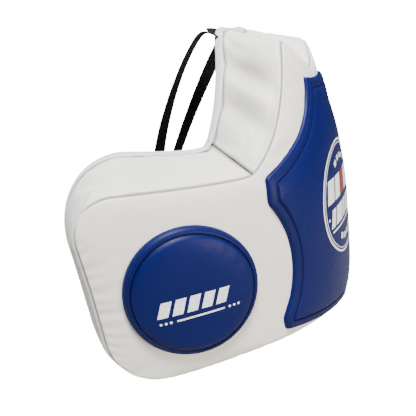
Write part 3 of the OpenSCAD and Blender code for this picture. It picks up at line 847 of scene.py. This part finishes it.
# ---- Thread
def thread_run(path, normal, length=3.2, pitch=4.6, radius=0.42):
    """Points and faces of short raised stitches along a path, standing on a surface with these normals."""
    travel = travelled(path)
    count = max(1, int(travel[-1] / pitch))
    profile = np.array([[0, -0.3], [0.25, 0.55], [0.5, 0.8], [0.75, 0.55], [1, -0.3]])
    starts = (np.arange(count) + 0.5) * travel[-1] / count - length / 2
    at = starts[:, None] + profile[:, 0] * length
    centre = np.stack([np.interp(at, travel, path[:, k]) for k in range(3)], -1)
    up = unit(np.stack([np.interp(at, travel, normal[:, k]) for k in range(3)], -1))
    side = unit(np.cross((centre[:, -1] - centre[:, 0])[:, None] + 0 * up, up))
    core = centre + up * (profile[:, 1] * radius)[None, :, None]
    points = np.stack([core + side * radius, core + up * radius, core - side * radius, core - up * radius], 2)
    ring = np.array([[4 * i + k, 4 * i + (k + 1) % 4, 4 * i + 4 + (k + 1) % 4, 4 * i + 4 + k]
                     for i in range(len(profile) - 1) for k in range(4)])
    faces = (ring[None] + 20 * np.arange(count)[:, None, None]).reshape(-1, 4)
    return points.reshape(-1, 3), faces


def stitching(name, runs, mat):
    """One object holding the stitches of several (path, normal) runs."""
    points, faces, start = [], [], 0
    for path, normal in runs:
        p, f = thread_run(np.asarray(path, float), np.asarray(normal, float))
        points.append(p)
        faces.append(f + start)
        start += len(p)
    return new_object(name, np.concatenate(points), np.concatenate(faces), mat)


def sew(name, runs, mat, body, side=""):
    dress(stitching(name, runs, mat), [], body, side, 0)


# ---- Binding tape folded over the back edge, with its stitches and joins
TAPE_SECTION = [(84.0, -0.4), (84.4, -1.8), (88.0, -2.1), (93.5, -2.0), (95.4, -1.4), (96.1, 0.3),
                (96.1, 4.5), (95.9, 8.6), (95.0, 9.2)]   # depth, and how far in from the outline
TAPE_TURN, TAPE_OVERLAP = 5, 0.9   # point of the section where the tape turns on to the lining


def binding_grid(path):
    edge_u, edge_z = path(1.0)
    edge = skin(edge_u, edge_z, THICK)
    across = across_edge(edge, edge_u)
    rows = []
    for depth, inset in TAPE_SECTION:
        u, z = path(min(1.0, depth / THICK))
        rows.append(skin(u, z, depth) + across * inset)
    grid = np.stack(rows, 1)
    grid[..., 2] = np.maximum(grid[..., 2], 0.1)
    outward = np.repeat(-across[:, None], grid.shape[1], 1)
    outward[:, TAPE_TURN:] = inward(edge_u)[:, None]
    return grid, outward


def tape_piece(name, path, nodes, body, folded_end=False):
    grid, outward = binding_grid(path)
    if folded_end:   # the loose end of the tape is turned under and overlaps
        grid[:2] += outward[:2] * TAPE_OVERLAP
    dress_pair(sheet_pair(name, grid, outward, TAPE), nodes, body)
    line = grid[:, 1] * 0.3 + grid[:, 2] * 0.7
    for side in ("left", "right"):
        run = (line * mirror_of(side), outward[:, 0] * mirror_of(side))
        sew(f"{name}_stitching_{side}", [run], WHITE_THREAD, body, side)


def build_bindings():
    tape_piece("side_binding", side_path, ["wing_binding_{side}", "chest_foot_binding"], "fold", True)
    tape_piece("armhole_binding", arm_path, ["armhole_binding_{side}"], "fold")
    tape_piece("neck_binding", neck_path, ["neck_binding"], "chest", True)


# ---- Foam cores, a little inside the skins
FOAM_LAYERS = (("outer", 5.0, 50.0, FIRM, "firm_foam"), ("inner", 54.0, 90.0, SOFT, "soft_foam"))
FOAM_TRIM = 2.4   # how many spans of the outline grid the foam stops short of the seams


def closed_block(front, back):
    """Faces of the closed solid between two grids of the same size, and their points."""
    n, m = front.shape[:2]
    rim = np.concatenate([np.arange(m), np.arange(1, n) * m + m - 1, (n - 1) * m + np.arange(m - 2, -1, -1),
                          np.arange(n - 2, 0, -1) * m])
    ahead = np.roll(rim, -1)
    faces = np.concatenate([grid_faces(n, m), grid_faces(n, m)[:, ::-1] + n * m,
                            np.stack([rim, ahead, ahead + n * m, rim + n * m], -1)[:, ::-1]])
    return np.concatenate([front.reshape(-1, 3), back.reshape(-1, 3)]), faces


def build_foam():
    cols = np.linspace(0, NECK_N + ARM_N + WING_N - FOAM_TRIM, 28)
    rows = np.linspace(FOAM_TRIM, ROW_N - FOAM_TRIM, 14)
    for layer, near, far, mat, slot in FOAM_LAYERS:
        grids = []
        for depth in (near, far):
            u, z = face_uz(cols, rows, depth / THICK)
            u[0] = 0.3
            grids.append(skin(u, z, depth))
        points, faces = closed_block(*grids)
        for side in ("left", "right"):
            turned = faces if side == "left" else faces[:, ::-1]
            obj = new_object(f"{layer}_foam_{side}", points * mirror_of(side), turned, mat)
            dress(obj, [f"chest_{layer}_foam", f"wing_{layer}_foam_{side}"], "fold", side, 0)


# ---- Pads: a stitched band, a sewn groove and an inflated top, lying on the blown-up face
BAND_GROOVE, PANEL_GROOVE = (7, 8), (8, 9)   # points of the profiles that lie in the groove
PAD_SEAM, PANEL_SEAM = 3.3, 4.6              # distance of the stitches from the edge
RAY_START = 60                               # height over the flat pattern that rays start from


def tree_of(name):
    """Ray-casting tree over the named piece, without its modifiers."""
    mesh = bpy.data.objects[name].data
    faces = [list(p.vertices) for p in mesh.polygons]
    return BVHTree.FromPolygons([v.co.copy() for v in mesh.vertices], faces)


def height_over(tree, u, z, missing=0.0):
    """Height of a surface above the flat pattern at each u and z."""
    start, way = skin(u, z, -RAY_START), inward(u)
    flat_start, flat_way = start.reshape(-1, 3), way.reshape(-1, 3)
    found = []
    for s, w in zip(flat_start, flat_way):
        distance = tree.ray_cast(Vector(s * MM), Vector(w), 0.2)[3]
        found.append(missing if distance is None else RAY_START - distance / MM)
    return np.array(found).reshape(np.shape(u))


def raised(flat, height):
    return skin(flat[..., 0], flat[..., 1], -height)


def seam_run(line, height):
    """Closed path and normals of the stitches at this height over a flat line."""
    return looped(raised(line, height)), looped(-inward(line[:, 0]))


def pad_object(name, rings, heights, top, top_heights, moved, closed, groove):
    """Band rings and top joined into one skin. The top's outer edge lies on the last ring."""
    band = raised(rings, heights)
    cushion = raised(top, top_heights) + moved
    n, m = rings.shape[:2]
    a, b = top.shape[:2]
    band_faces = grid_faces(n, m, True)
    top_faces = grid_faces(a, b, closed) + n * m
    points = np.concatenate([band.reshape(-1, 3), cushion.reshape(-1, 3)])
    outward = np.concatenate([-inward(rings[..., 0]).reshape(-1, 3), -inward(top[..., 0]).reshape(-1, 3)])
    faces = [faces_out(points, band_faces, outward), faces_out(points, top_faces, outward)]
    if closed:   # the middle of the pad
        inner = n * m + np.arange(a) * b + b - 1
        points = np.concatenate([points, points[inner].mean(0, keepdims=True)])
        tip = np.full(a, len(points) - 1)
        fan = np.stack([inner, np.roll(inner, -1), tip, tip], -1)
        fan = faces_out(points, fan, np.concatenate([outward, outward[-1:]]))
        faces.append(fan)
    faces = [list(dict.fromkeys(f)) for f in np.concatenate(faces).tolist()]
    obj = new_object(name, points, faces, BLUE)
    # Painted shadow in the sewn groove: its points darken the blue colour through the seam attribute.
    crease = np.zeros(len(points))
    crease[:n * m] = np.tile(np.isin(np.arange(m), groove), n)
    store_seam(obj, crease)
    shell = bmesh.new()
    shell.from_mesh(obj.data)
    bmesh.ops.remove_doubles(shell, verts=shell.verts, dist=0.02 * MM)
    shell.to_mesh(obj.data)
    shell.free()
    return obj


def smooth_ring(values):
    """Evens out a closed row of heights."""
    for _ in range(6):
        values = (np.roll(values, 1, 0) + 2 * values + np.roll(values, -1, 0)) / 4
    return values


def build_round_pads(face):
    rings, top = circle_uz(PAD_R - np.array(BAND_IN)), circle_uz(PAD_RADII)
    base = smooth_ring(height_over(face, rings[:, 0, 0], rings[:, 0, 1]))[:, None]
    line = circle_uz(np.array([PAD_R - PAD_SEAM]))[:, 0]
    points, normals = seam_run(line, base[:, 0] + np.interp(PAD_SEAM, BAND_IN, BAND_UP))
    for side in ("left", "right"):
        obj = pad_object(f"round_pad_{side}", rings, base + np.array(BAND_UP), top, base + BAND_UP[-1],
                         move_pad, True, BAND_GROOVE)
        turn_over(obj, side)
        dress(obj, ["round_pad_cover_{side}", "round_pad_foam_{side}"], "wing_{side}", side)
        run = (points * mirror_of(side), normals * mirror_of(side))
        sew(f"round_pad_stitching_{side}", [run], BLUE_THREAD, "wing_{side}", side)


def turn_over(obj, side):
    """Mirrors a finished mesh to the other side, keeping its faces outwards."""
    if side == "right":
        obj.data.transform(Matrix.Diagonal((-1, 1, 1, 1)))
        obj.data.flip_normals()


def evened(moved, rounds=10):
    """Irons the folds out of a simulated grid, leaving its edges where they are."""
    moved = moved.copy()
    for _ in range(rounds):
        beside = moved[:-2, 1:-1] + moved[2:, 1:-1] + moved[1:-1, :-2] + moved[1:-1, 2:]
        moved[1:-1, 1:-1] = (4 * moved[1:-1, 1:-1] + beside) / 8
    return moved


def build_panel(face):
    rings = np.stack([panel_ring(d) for d in PANEL_IN], 1)
    u, z = np.maximum(0.3, np.abs(rings[:, 2, 0])), rings[:, 2, 1]
    base = smooth_ring(height_over(face, u, z))
    top = panel_fill(PANEL_IN[-1])
    foot, right, top_side, left = edge_values(base, top.shape)
    s, t = np.linspace(0, 1, top.shape[0]), np.linspace(0, 1, top.shape[1])
    top_base = patch(foot, top_side, left, right, s, t)
    obj = pad_object("centre_panel", rings, base[:, None] + np.array(PANEL_UP), top, top_base + PANEL_UP[-1],
                     evened(move_panel), False, PANEL_GROOVE)
    dress(obj, ["centre_panel_cover", "centre_panel_foam"], "chest")
    run = seam_run(panel_ring(PANEL_SEAM), base + np.interp(PANEL_SEAM, PANEL_IN, PANEL_UP))
    sew("centre_panel_stitching", [run], BLUE_THREAD, "chest")


def edge_values(ring, shape):
    """Splits values given round the panel's ring into its four sides."""
    n, m = shape[0] - 1, shape[1] - 1
    whole = np.append(ring, ring[0])
    foot, right = whole[:n + 1], whole[n:n + m + 1]
    top, left = whole[n + m:2 * n + m + 1][::-1], whole[2 * n + m:][::-1]
    return foot, right, top, left


# ---- Prints: plain shapes that lie on the pads
PRINT_LIFT = 0.35


def bar(x0, x1, z0, z1, slant=0.0, steps=4):
    """Slanted block as a grid of flat coordinates."""
    x, z = np.meshgrid(np.linspace(x0, x1, steps + 1), np.linspace(z0, z1, 4), indexing="ij")
    return np.stack([x + slant * (z - z0), z], -1)


def arc_band(r0, r1, start, stop, steps):
    a, r = np.meshgrid(np.radians(np.linspace(start, stop, steps + 1)), np.linspace(r0, r1, 3), indexing="ij")
    return np.stack([r * np.cos(a), r * np.sin(a)], -1)


def dot(x, z, r):
    grid = arc_band(0.05, r, 0, 360, 20)
    return grid + np.array([x, z])


def print_object(name, shapes, middle, tree, mats):
    """Lays flat shapes on a pad's surface; shapes are (grid, material index) about the middle."""
    points, faces, marks, start = [], [], [], 0
    for grid, mark in shapes:
        flat = grid + np.array(middle)
        u = np.where(np.abs(flat[..., 0]) < 0.05, 0.05, flat[..., 0])
        height = height_over(tree, u, flat[..., 1], 12.0) + PRINT_LIFT
        lifted = raised(np.stack([u, flat[..., 1]], -1), height)
        n, m = grid.shape[:2]
        pts = lifted.reshape(-1, 3)
        faces.append(faces_out(pts, grid_faces(n, m), -inward(u).reshape(-1, 3)) + start)
        points.append(pts)
        marks += [mark] * len(faces[-1])
        start += n * m
    return new_object(name, np.concatenate(points), np.concatenate(faces), mats, face_mats=marks)


def emblem_shapes():
    r = EMBLEM_R
    shapes = [(arc_band(0.962 * r, r, 0, 360, 96), 0), (arc_band(0.915 * r, 0.932 * r, 0, 360, 96), 0)]
    for x, width, mark in ((-70, 24, 0), (-42, 24, 0), (-14, 20, 1), (10, 26, 0), (40, 20, 0)):
        shapes.append((bar(x - 5, x + width - 5, 8, 42, 0.3), mark))
    for x, width in ((-66, 14), (-48, 30), (-14, 14), (4, 30), (38, 20)):
        shapes.append((bar(x - 4, x + width - 4, -30, -2, 0.3), 0))
    shapes.append((bar(-66, 62, -38, -35, 0.18, 24), 0))
    for turn in (60, 76, 92, 108):
        shapes.append((arc_band(0.66 * r, 0.75 * r, turn, turn + 10, 4), 0))
    for turn in (238, 254, 270, 286):
        shapes.append((arc_band(0.66 * r, 0.77 * r, turn, turn + 11, 4), 0))
    shapes += [(dot(x, -14, 2.4), 0) for x in (-74, 68)]
    return shapes


def pad_mark_shapes():
    shapes = [(bar(x, x + 13, -2, 18, 0.4), 0) for x in (-52, -34, -16, 2, 20)]
    shapes.append((bar(-30, 30, -11, -8.6, 0.2, 12), 0))
    shapes += [(dot(side * x, -9.8, 1.7), 0) for side in (-1, 1) for x in (37, 43, 49)]
    return shapes


def build_prints():
    obj = print_object("emblem_mark", emblem_shapes(), (0, EMBLEM_Z), tree_of("centre_panel"), [PRINT, RED])
    dress(obj, ["emblem_print"], "chest", "", 0)
    for side, sign in (("left", 1), ("right", -1)):   # the mark reads the same way round on both pads
        obj = print_object(f"pad_mark_{side}", pad_mark_shapes(), (PAD_U * sign, PAD_Z - 14),
                           tree_of(f"round_pad_{side}"), [PRINT])
        dress(obj, ["pad_print_{side}"], "wing_{side}", side, 0)


# ---- Webbing: closed ribbons with rounded edges
WEB_W, WEB_T = 38.0, 1.9


def ribbon(name, centre, side, width=WEB_W):
    """Flat strap along a path of centres, with the direction of its width at each."""
    along = unit(np.gradient(centre, axis=0))
    side = unit(side - along * (side * along).sum(-1, keepdims=True))
    up = np.cross(side, along)
    half, r = width / 2, WEB_T / 2
    section = [(-half + 0.1, 0.0), (-half + 0.5, 0.8 * r), (-half + 1.6, r)]
    section += [(x, r) for x in np.linspace(-half + 6, half - 6, 5)]
    section += [(half - 1.6, r), (half - 0.5, 0.8 * r), (half - 0.1, 0.0)]
    section += [(x, -h) for x, h in section[::-1][1:-1]]
    grid = np.stack([centre + side * x + up * h for x, h in section], 1)
    n, m = grid.shape[:2]
    faces = grid_faces(m, n, True)
    points = grid.transpose(1, 0, 2).reshape(-1, 3)
    uv = np.stack([np.tile(travelled(centre), m), np.repeat([x for x, _ in section], n)], -1)
    outward = np.repeat(unit(np.stack([side[0] * x + up[0] * 40 * h for x, h in section])), n, 0)
    faces = faces_out(points, faces, outward).tolist()
    faces += [[k * n for k in range(m)], [k * n + n - 1 for k in range(m)][::-1]]
    return new_object(name, points, faces, WEB, uv)


def bending_strap(node, side, centre, ways):
    """A ribbon along a path of centres that stands for a hidden CAD strap, with its placement baked into its
    mesh.
    """
    sign = mirror_of(side)
    obj = ribbon(f"{node}_{side}", centre * sign, ways * sign)
    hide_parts(f"{node}_{side}")
    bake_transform(obj)


def smooth_path(points, count):
    points = np.asarray(points, float)
    return spline(points, np.linspace(0, len(points) - 1, count))


STRAP = np.array([[46, 102, 461], [70, 137, 450], [46, 239, 254], [20, 239.2, 204]], float)
SEWN_U, SEWN_RISE = 50, ((404, 1.4), (415, 1.4), (426, 1.5), (436, 3.0), (445, 4.6))   # height and lift
STRAP_TOP = np.array([[50.4, 101.5, 451.5], [51.4, 109.0, 452.0]])
STRAP_TURNS = (((0.97, -0.24, 0.0), 50, 74), ((1.0, 0.0, 0.0), 24, 50))   # top bend, then sewn part


def strap_centre(t):
    t = np.asarray(t, float)[:, None]
    a, b, c, d = STRAP
    return a * (1 - t) ** 3 + b * 3 * t * (1 - t) ** 2 + c * 3 * t * t * (1 - t) + d * t ** 3


def strap_width_way(t):
    a = np.radians(mix(0, mix(20, -4, t), np.minimum(1, t / 0.3)))
    return np.stack([np.cos(a), -np.sin(a), 0 * a], -1)


def build_shoulder_straps():
    """Sewn flat to the lining, then over the top bend and down in a curve to the back patch."""
    sewn = np.stack([skin(SEWN_U, z, THICK + rise) for z, rise in SEWN_RISE])
    t = np.linspace(0.13, 1, 50)
    hanging = strap_centre(t)
    tail = hanging[-1] + np.array([0, 0, -1.0]) * np.array([[4.0], [8.0]])
    start = smooth_path(np.concatenate([sewn, STRAP_TOP, hanging[:1], hanging[4:5]]), 55)[:-7]
    centre = np.concatenate([start, hanging[1:], tail])
    turned = strap_width_way(t)
    ways = np.concatenate([np.repeat(turned[:1], len(start), 0), turned[1:], turned[-1:], turned[-1:]])
    for way, first, last in STRAP_TURNS:
        share = eased((np.arange(len(centre)) - first) / (last - first))[:, None]
        ways = mix(np.array([way]), ways, share)
    for side in ("left", "right"):
        bending_strap("shoulder_strap", side, centre, ways)


def box_stitch(middle, right, up, width, height):
    """Runs of a sewn box with a cross, about a middle point."""
    normal = np.cross(right, up)
    turns = ((-1, -1), (1, -1), (1, 1), (-1, 1))
    corner = [middle + right * sx * width / 2 + up * sz * height / 2 for sx, sz in turns]
    pairs = [(0, 1), (1, 2), (2, 3), (3, 0), (0, 2), (1, 3)]
    return [(np.array([corner[a], corner[b]]), np.array([normal, normal])) for a, b in pairs]


def plate(name, outline, place, thick, mat, flipped):
    """Soft sewn patch: its outline in flat coordinates is rounded at the edge; place puts it in space."""
    outline = np.asarray(outline, float)
    middle = outline.mean(0)
    shares = [(1.0, 0.0), (1.0, 0.45), (0.985, 0.85), (0.95, 1.0), (0.6, 1.05), (0.25, 1.1)]
    n = len(outline)
    rings = [(middle + (outline - middle) * s, h * thick) for s, h in shares]
    tip = len(rings) * n
    points = [place(r, h) for r, h in rings] + [place(middle[None], 1.1 * thick), place(outline, -0.02)]
    around = [(i, (i + 1) % n) for i in range(n)]
    faces = [[k + i, k + j, k + n + j, k + n + i] for k in range(0, tip - n, n) for i, j in around]
    faces += [[tip - n + i, tip - n + j, tip] for i, j in around]
    faces += [[tip + 1 + i, tip + 1 + j, j, i] for i, j in around]
    faces.append([tip + 1 + i for i in range(n)][::-1])
    obj = new_object(name, np.concatenate(points), faces, mat)
    if flipped:
        obj.data.flip_normals()
    return obj


def stitched_plate(name, label, corners, inset, rounds, place, thick, lift, normal, flipped,
                   nodes, body, side=""):
    """A white leather patch with a row of stitches round it, lift above where it lies."""
    obj = plate(f"{name}_{label}", densify(corners, round_off=rounds[0]), place, thick, WHITE, flipped)
    dress(obj, nodes, body, side)
    inner = densify(inset, round_off=rounds[1])
    line = place(looped(inner), lift)
    run = (line, np.repeat([normal], len(line), 0))
    sew(f"{name}_stitching_{label}", [run], WHITE_THREAD, body, side)


def densify(corners, round_off, step=4.0):
    """Points along a closed polygon, with its corners rounded."""
    corners = np.asarray(corners, float)
    path = []
    for before, here, after in zip(np.roll(corners, 1, 0), corners, np.roll(corners, -1, 0)):
        a = here + unit(before - here) * round_off
        b = here + unit(after - here) * round_off
        path += list(quad_bezier(a, here, b, 4))
    out = []
    for a, b in zip(path, path[1:] + path[:1]):
        count = max(1, int(np.linalg.norm(b - a) / step))
        out += [a + (b - a) * k / count for k in range(count)]
    return np.array(out)


def block_corners(x, z, inset=0):
    return [(x[0] + inset, z[0] + inset), (x[1] - inset, z[0] + inset), (x[1] - inset, z[1] - inset),
            (x[0] + inset, z[1] - inset)]


ANCHOR_X, ANCHOR_Z, STITCH_IN = (28, 74), (402, 438), 4


def build_anchors():
    for side in ("left", "right"):
        sign = mirror_of(side)
        place = lambda flat, h: skin(flat[:, 0], flat[:, 1], THICK + 0.8 + h) * sign
        stitched_plate("strap_anchor", side, block_corners(ANCHOR_X, ANCHOR_Z),
                       block_corners(ANCHOR_X, ANCHOR_Z, STITCH_IN), (5, 3), place, 3.0, 3.3,
                       (0.0, 1.0, 0.0), side == "left", ["strap_anchor_{side}"], "chest", side)


PATCH_Y, PATCH_Z, PATCH_W, PATCH_H, PATCH_CUT, PATCH_GAP = 242.0, 193.0, 86.0, 58.0, 14.0, 0.15
SEWN_END_X, SEWN_END_Z, SEWN_END_W, SEWN_END_H = 20.0, 208.0, 28, 16


def patch_corners(inset):
    w, h, c = PATCH_W / 2 - inset, PATCH_H / 2 - inset, PATCH_CUT - inset * 0.6
    half = [(w - c, -h), (w, -h + c), (w, h - c), (w - c, h)]
    return [(-w + c, -h)] + half + [(-x, z) for x, z in half[:0:-1]]


def build_back_patch():
    """Two layers of leather sewn back to back over the ends of the straps."""
    for layer, way in (("front", -1.0), ("rear", 1.0)):
        place = lambda flat, h: np.stack([flat[:, 0], PATCH_Y + way * (PATCH_GAP + h) + 0 * flat[:, 0],
                                          PATCH_Z + flat[:, 1]], -1)
        stitched_plate("back_patch", layer, patch_corners(0), patch_corners(STITCH_IN), (4, 3), place,
                       1.6, 1.65, (0.0, way, 0.0), layer == "rear", ["back_patch"], "harness")
    runs = []
    for x in (-SEWN_END_X, SEWN_END_X):
        middle = np.array([x, STRAP[-1][1] - WEB_T / 2 - 0.05, SEWN_END_Z])
        runs += box_stitch(middle, np.array([1.0, 0, 0]), np.array([0, 0, 1.0]), SEWN_END_W, SEWN_END_H)
    sew("strap_end_stitching", runs, BLACK_THREAD, "harness")


WAIST_X, WAIST_TOP_Z, WAIST_TILT = 20.0, 154.0, math.radians(28)
WAIST_RIGHT = np.array([math.cos(WAIST_TILT), 0, math.sin(WAIST_TILT)])
WAIST_UP = np.array([-math.sin(WAIST_TILT), 0, math.cos(WAIST_TILT)])
FLAP_Y = 3.9 + WEB_T / 2
TAPE_X, LOOP_Z, HOOK_Z, TAPE_THICK = (-16.5, 16.5), (-103.0, -35.0), (-101.0, -61.0), 0.9


def waist(x, y, z):
    """Point of the waist strap: x across it, y behind it, z up from its pivot."""
    x, y, z = np.broadcast_arrays(*[np.asarray(v, float) for v in (x, y, z)])
    start = np.array([WAIST_X, PATCH_Y, WAIST_TOP_Z])
    return start + x[..., None] * WAIST_RIGHT + y[..., None] * np.array([0, 1.0, 0]) + z[..., None] * WAIST_UP


def tape_on_strap(name, y, way, heights, mat, body):
    """Hook or loop tape: a thin sewn strip with its pile, standing up backwards or forwards from y."""
    outline = densify(block_corners(TAPE_X, heights), round_off=2)
    for side in ("left", "right"):
        sign = mirror_of(side)
        place = lambda flat, h: waist(flat[:, 0], y + way * h, flat[:, 1]) * sign
        obj = plate(f"{name}_{side}", outline, place, TAPE_THICK, mat, (way > 0) == (side == "left"))
        dress(obj, [name + "_{side}"], body, side, 0)


def build_waist_straps():
    """Each hangs from the back patch, with its end folded back on itself over the two tapes."""
    heights = np.concatenate([np.linspace(16, -6, 8), np.linspace(-12, -98, 16)])
    main = waist(0, np.interp(heights, [-6, 4, 8], [0.0, 2.2, 3.0]), heights)
    fold, radius = np.linspace(-math.pi / 2, math.pi / 2, 9), FLAP_Y / 2
    bend = waist(0, radius + radius * np.sin(fold), -105.5 - radius * np.cos(fold))
    back = waist(0, FLAP_Y, np.linspace(-104, -58, 10))
    flap = np.concatenate([waist(0, 0, np.array([-98.0, -101.5, -104.5])), bend, back])
    for side in ("left", "right"):
        bending_strap("waist_strap", side, main, np.repeat([WAIST_RIGHT], len(main), 0))
        bending_strap("strap_flap", side, flap, np.repeat([WAIST_RIGHT], len(flap), 0))
    tape_on_strap("loop_tape", WEB_T / 2, 1, LOOP_Z, LOOP, "waist_{side}")
    tape_on_strap("hook_tape", FLAP_Y - WEB_T / 2, -1, HOOK_Z, HOOK, "flap_{side}")


# ---- Ring tabs: webbing folded round each ring and sewn to the lining
RING_U, RING_Z, TAB_OFF, TAB_W, WIRE_R, TAB_LEN = 415.0, 128.0, 2.4, 34.0, 2.0, 24.0
TAB_SEW_AT, TAB_SEW_OFF, TAB_SEW_W, TAB_SEW_H = 16.5, 4.0, 11, 26


def build_ring_tabs():
    h = float(heading(np.array(RING_U)))
    tilt = -math.atan(LEAN * math.cos(h))
    along = np.array([math.cos(h), math.sin(h), 0])
    out = np.array([-math.sin(h), math.cos(h), 0])
    up = np.array([0, 0, 1.0])
    out, up = (out * math.cos(tilt) + up * math.sin(tilt), up * math.cos(tilt) - out * math.sin(tilt))
    origin = skin(RING_U, RING_Z, THICK + TAB_OFF)
    eye = WIRE_R + WEB_T / 2 + 0.05
    turn = np.linspace(-math.pi / 2, -3 * math.pi / 2, 15)
    leaf = np.linspace(3, TAB_LEN, 8)
    rear_leaf = np.interp(leaf, [3, 9, 24], [2 * eye - 0.4, 2.3, 2.0])
    x = np.concatenate([leaf[::-1], eye * np.cos(turn), leaf])
    y = np.concatenate([0 * leaf, eye + eye * np.sin(turn), rear_leaf])
    centre = origin + x[:, None] * along + (y + WEB_T / 2)[:, None] * out
    for side in ("left", "right"):
        sign = mirror_of(side)
        obj = ribbon(f"ring_tab_{side}", centre * sign, np.repeat([up], len(centre), 0) * sign, TAB_W)
        dress(obj, ["ring_tab_{side}"], "wing_{side}", side, 0)
        middle = origin + along * TAB_SEW_AT + out * TAB_SEW_OFF
        box = box_stitch(middle, along, up, TAB_SEW_W, TAB_SEW_H)
        runs = [(p * sign, n * 0 + out * sign) for p, n in box]
        sew(f"ring_tab_stitching_{side}", runs, BLACK_THREAD, "wing_{side}", side)


def finish_rings():
    for side in ("left", "right"):
        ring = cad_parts[f"strap_ring_{side}"]
        ring.data.materials.clear()
        ring.data.materials.append(STEEL)


# ---- Floor, light and camera
WORLD_LIGHT, BACKDROP_LIGHT, FLOOR_GLOW, FLOOR_HALF = 0.16, 16.0, 16.0, 9.0
LAMPS = (("rear", (0.9, 1.9, 0.9), (0, 0.1, 0.2), 1.0, 22, (1.0, 1.0, 1.0)),
         ("front", (-0.6, -1.8, 0.5), (-0.1, 0, 0.1), 0.7, 34, (1.0, 0.88, 0.74)),
         ("top", (-0.7, -0.3, 2.2), (0, 0.0, 0.25), 0.6, 140, (0.96, 0.98, 1.0)))
CAMERA_AZ, CAMERA_EL, CAMERA_ROLL = (math.radians(v) for v in (-62.92, 21.69, -4.90))
CAMERA_AWAY, CAMERA_AT, CAMERA_LENS = 0.788, Vector((0, 0.1558, 0.1508)), 36.53


def brightness(tree, lit, shown):
    """One strength for what lights the scene and another for what the camera sees."""
    seen = add(tree, "ShaderNodeLightPath", {}).outputs["Is Camera Ray"]
    return add(tree, "ShaderNodeMapRange", {"Value": seen}, To_Min=lit, To_Max=shown).outputs["Result"]


def floor():
    mat, tree, bsdf = new_material("studio_floor", 0.9)
    place = add(tree, "ShaderNodeTexCoord", {}).outputs["Object"]
    noise = add(tree, "ShaderNodeTexNoise", {"Vector": place}, Scale=3.0).outputs["Fac"]
    colour = ramp(tree, noise, 0.3, 0.7, grey(0.33), grey(0.35))
    rough = ramp(tree, noise, 0, 1, grey(0.9), grey(0.95))
    finish_material(tree, bsdf, colour, rough, [(noise, 0.02, 1.0)])
    bsdf.inputs["Emission Color"].default_value = (1, 1, 1, 1)
    tree.links.new(brightness(tree, 0.0, FLOOR_GLOW), bsdf.inputs["Emission Strength"])
    corners = np.array([[-1, -1, 0], [1, -1, 0], [1, 1, 0], [-1, 1, 0]]) * FLOOR_HALF / MM
    new_object("studio_floor", corners, [[0, 1, 2, 3]], mat, smooth=False)


def lights():
    world = bpy.data.worlds.new("studio")
    bpy.context.scene.world = world
    world.use_nodes = True
    nodes = world.node_tree
    background = nodes.nodes["Background"]
    background.inputs["Color"].default_value = (1, 1, 1, 1)
    nodes.links.new(brightness(nodes, WORLD_LIGHT, BACKDROP_LIGHT), background.inputs["Strength"])
    for name, place, target, size, power, colour in LAMPS:
        lamp = bpy.data.lights.new(name, "AREA")
        lamp.energy, lamp.size, lamp.color = power, size, colour
        obj = bpy.data.objects.new(name, lamp)
        obj.location = place
        obj.rotation_euler = (Vector(target) - Vector(place)).to_track_quat("-Z", "Y").to_euler()
        bpy.context.scene.collection.objects.link(obj)


def camera():
    level = math.cos(CAMERA_EL)
    back = Vector((math.sin(CAMERA_AZ) * level, -math.cos(CAMERA_AZ) * level, math.sin(CAMERA_EL)))
    right = (-back).cross(Vector((0, 0, 1))).normalized()
    up = right.cross(-back)
    c, s = math.cos(CAMERA_ROLL), math.sin(CAMERA_ROLL)
    cam = bpy.data.cameras.new("camera")
    cam.lens, cam.sensor_width = CAMERA_LENS, 36
    obj = bpy.data.objects.new("camera", cam)
    axes = Matrix((c * right + s * up, -s * right + c * up, back)).transposed()
    obj.matrix_world = Matrix.Translation(CAMERA_AT + CAMERA_AWAY * back) @ axes.to_4x4()
    bpy.context.scene.collection.objects.link(obj)
    bpy.context.scene.camera = obj


build_face_and_lining()
build_side_gussets()
build_armhole_gussets()
build_neck_gusset()
build_bindings()
build_foam()
face_tree = tree_of("face_cover_left")
build_round_pads(face_tree)
build_panel(face_tree)
build_prints()
build_anchors()
build_shoulder_straps()
build_back_patch()
build_waist_straps()
build_ring_tabs()
finish_rings()
floor()
lights()
camera()
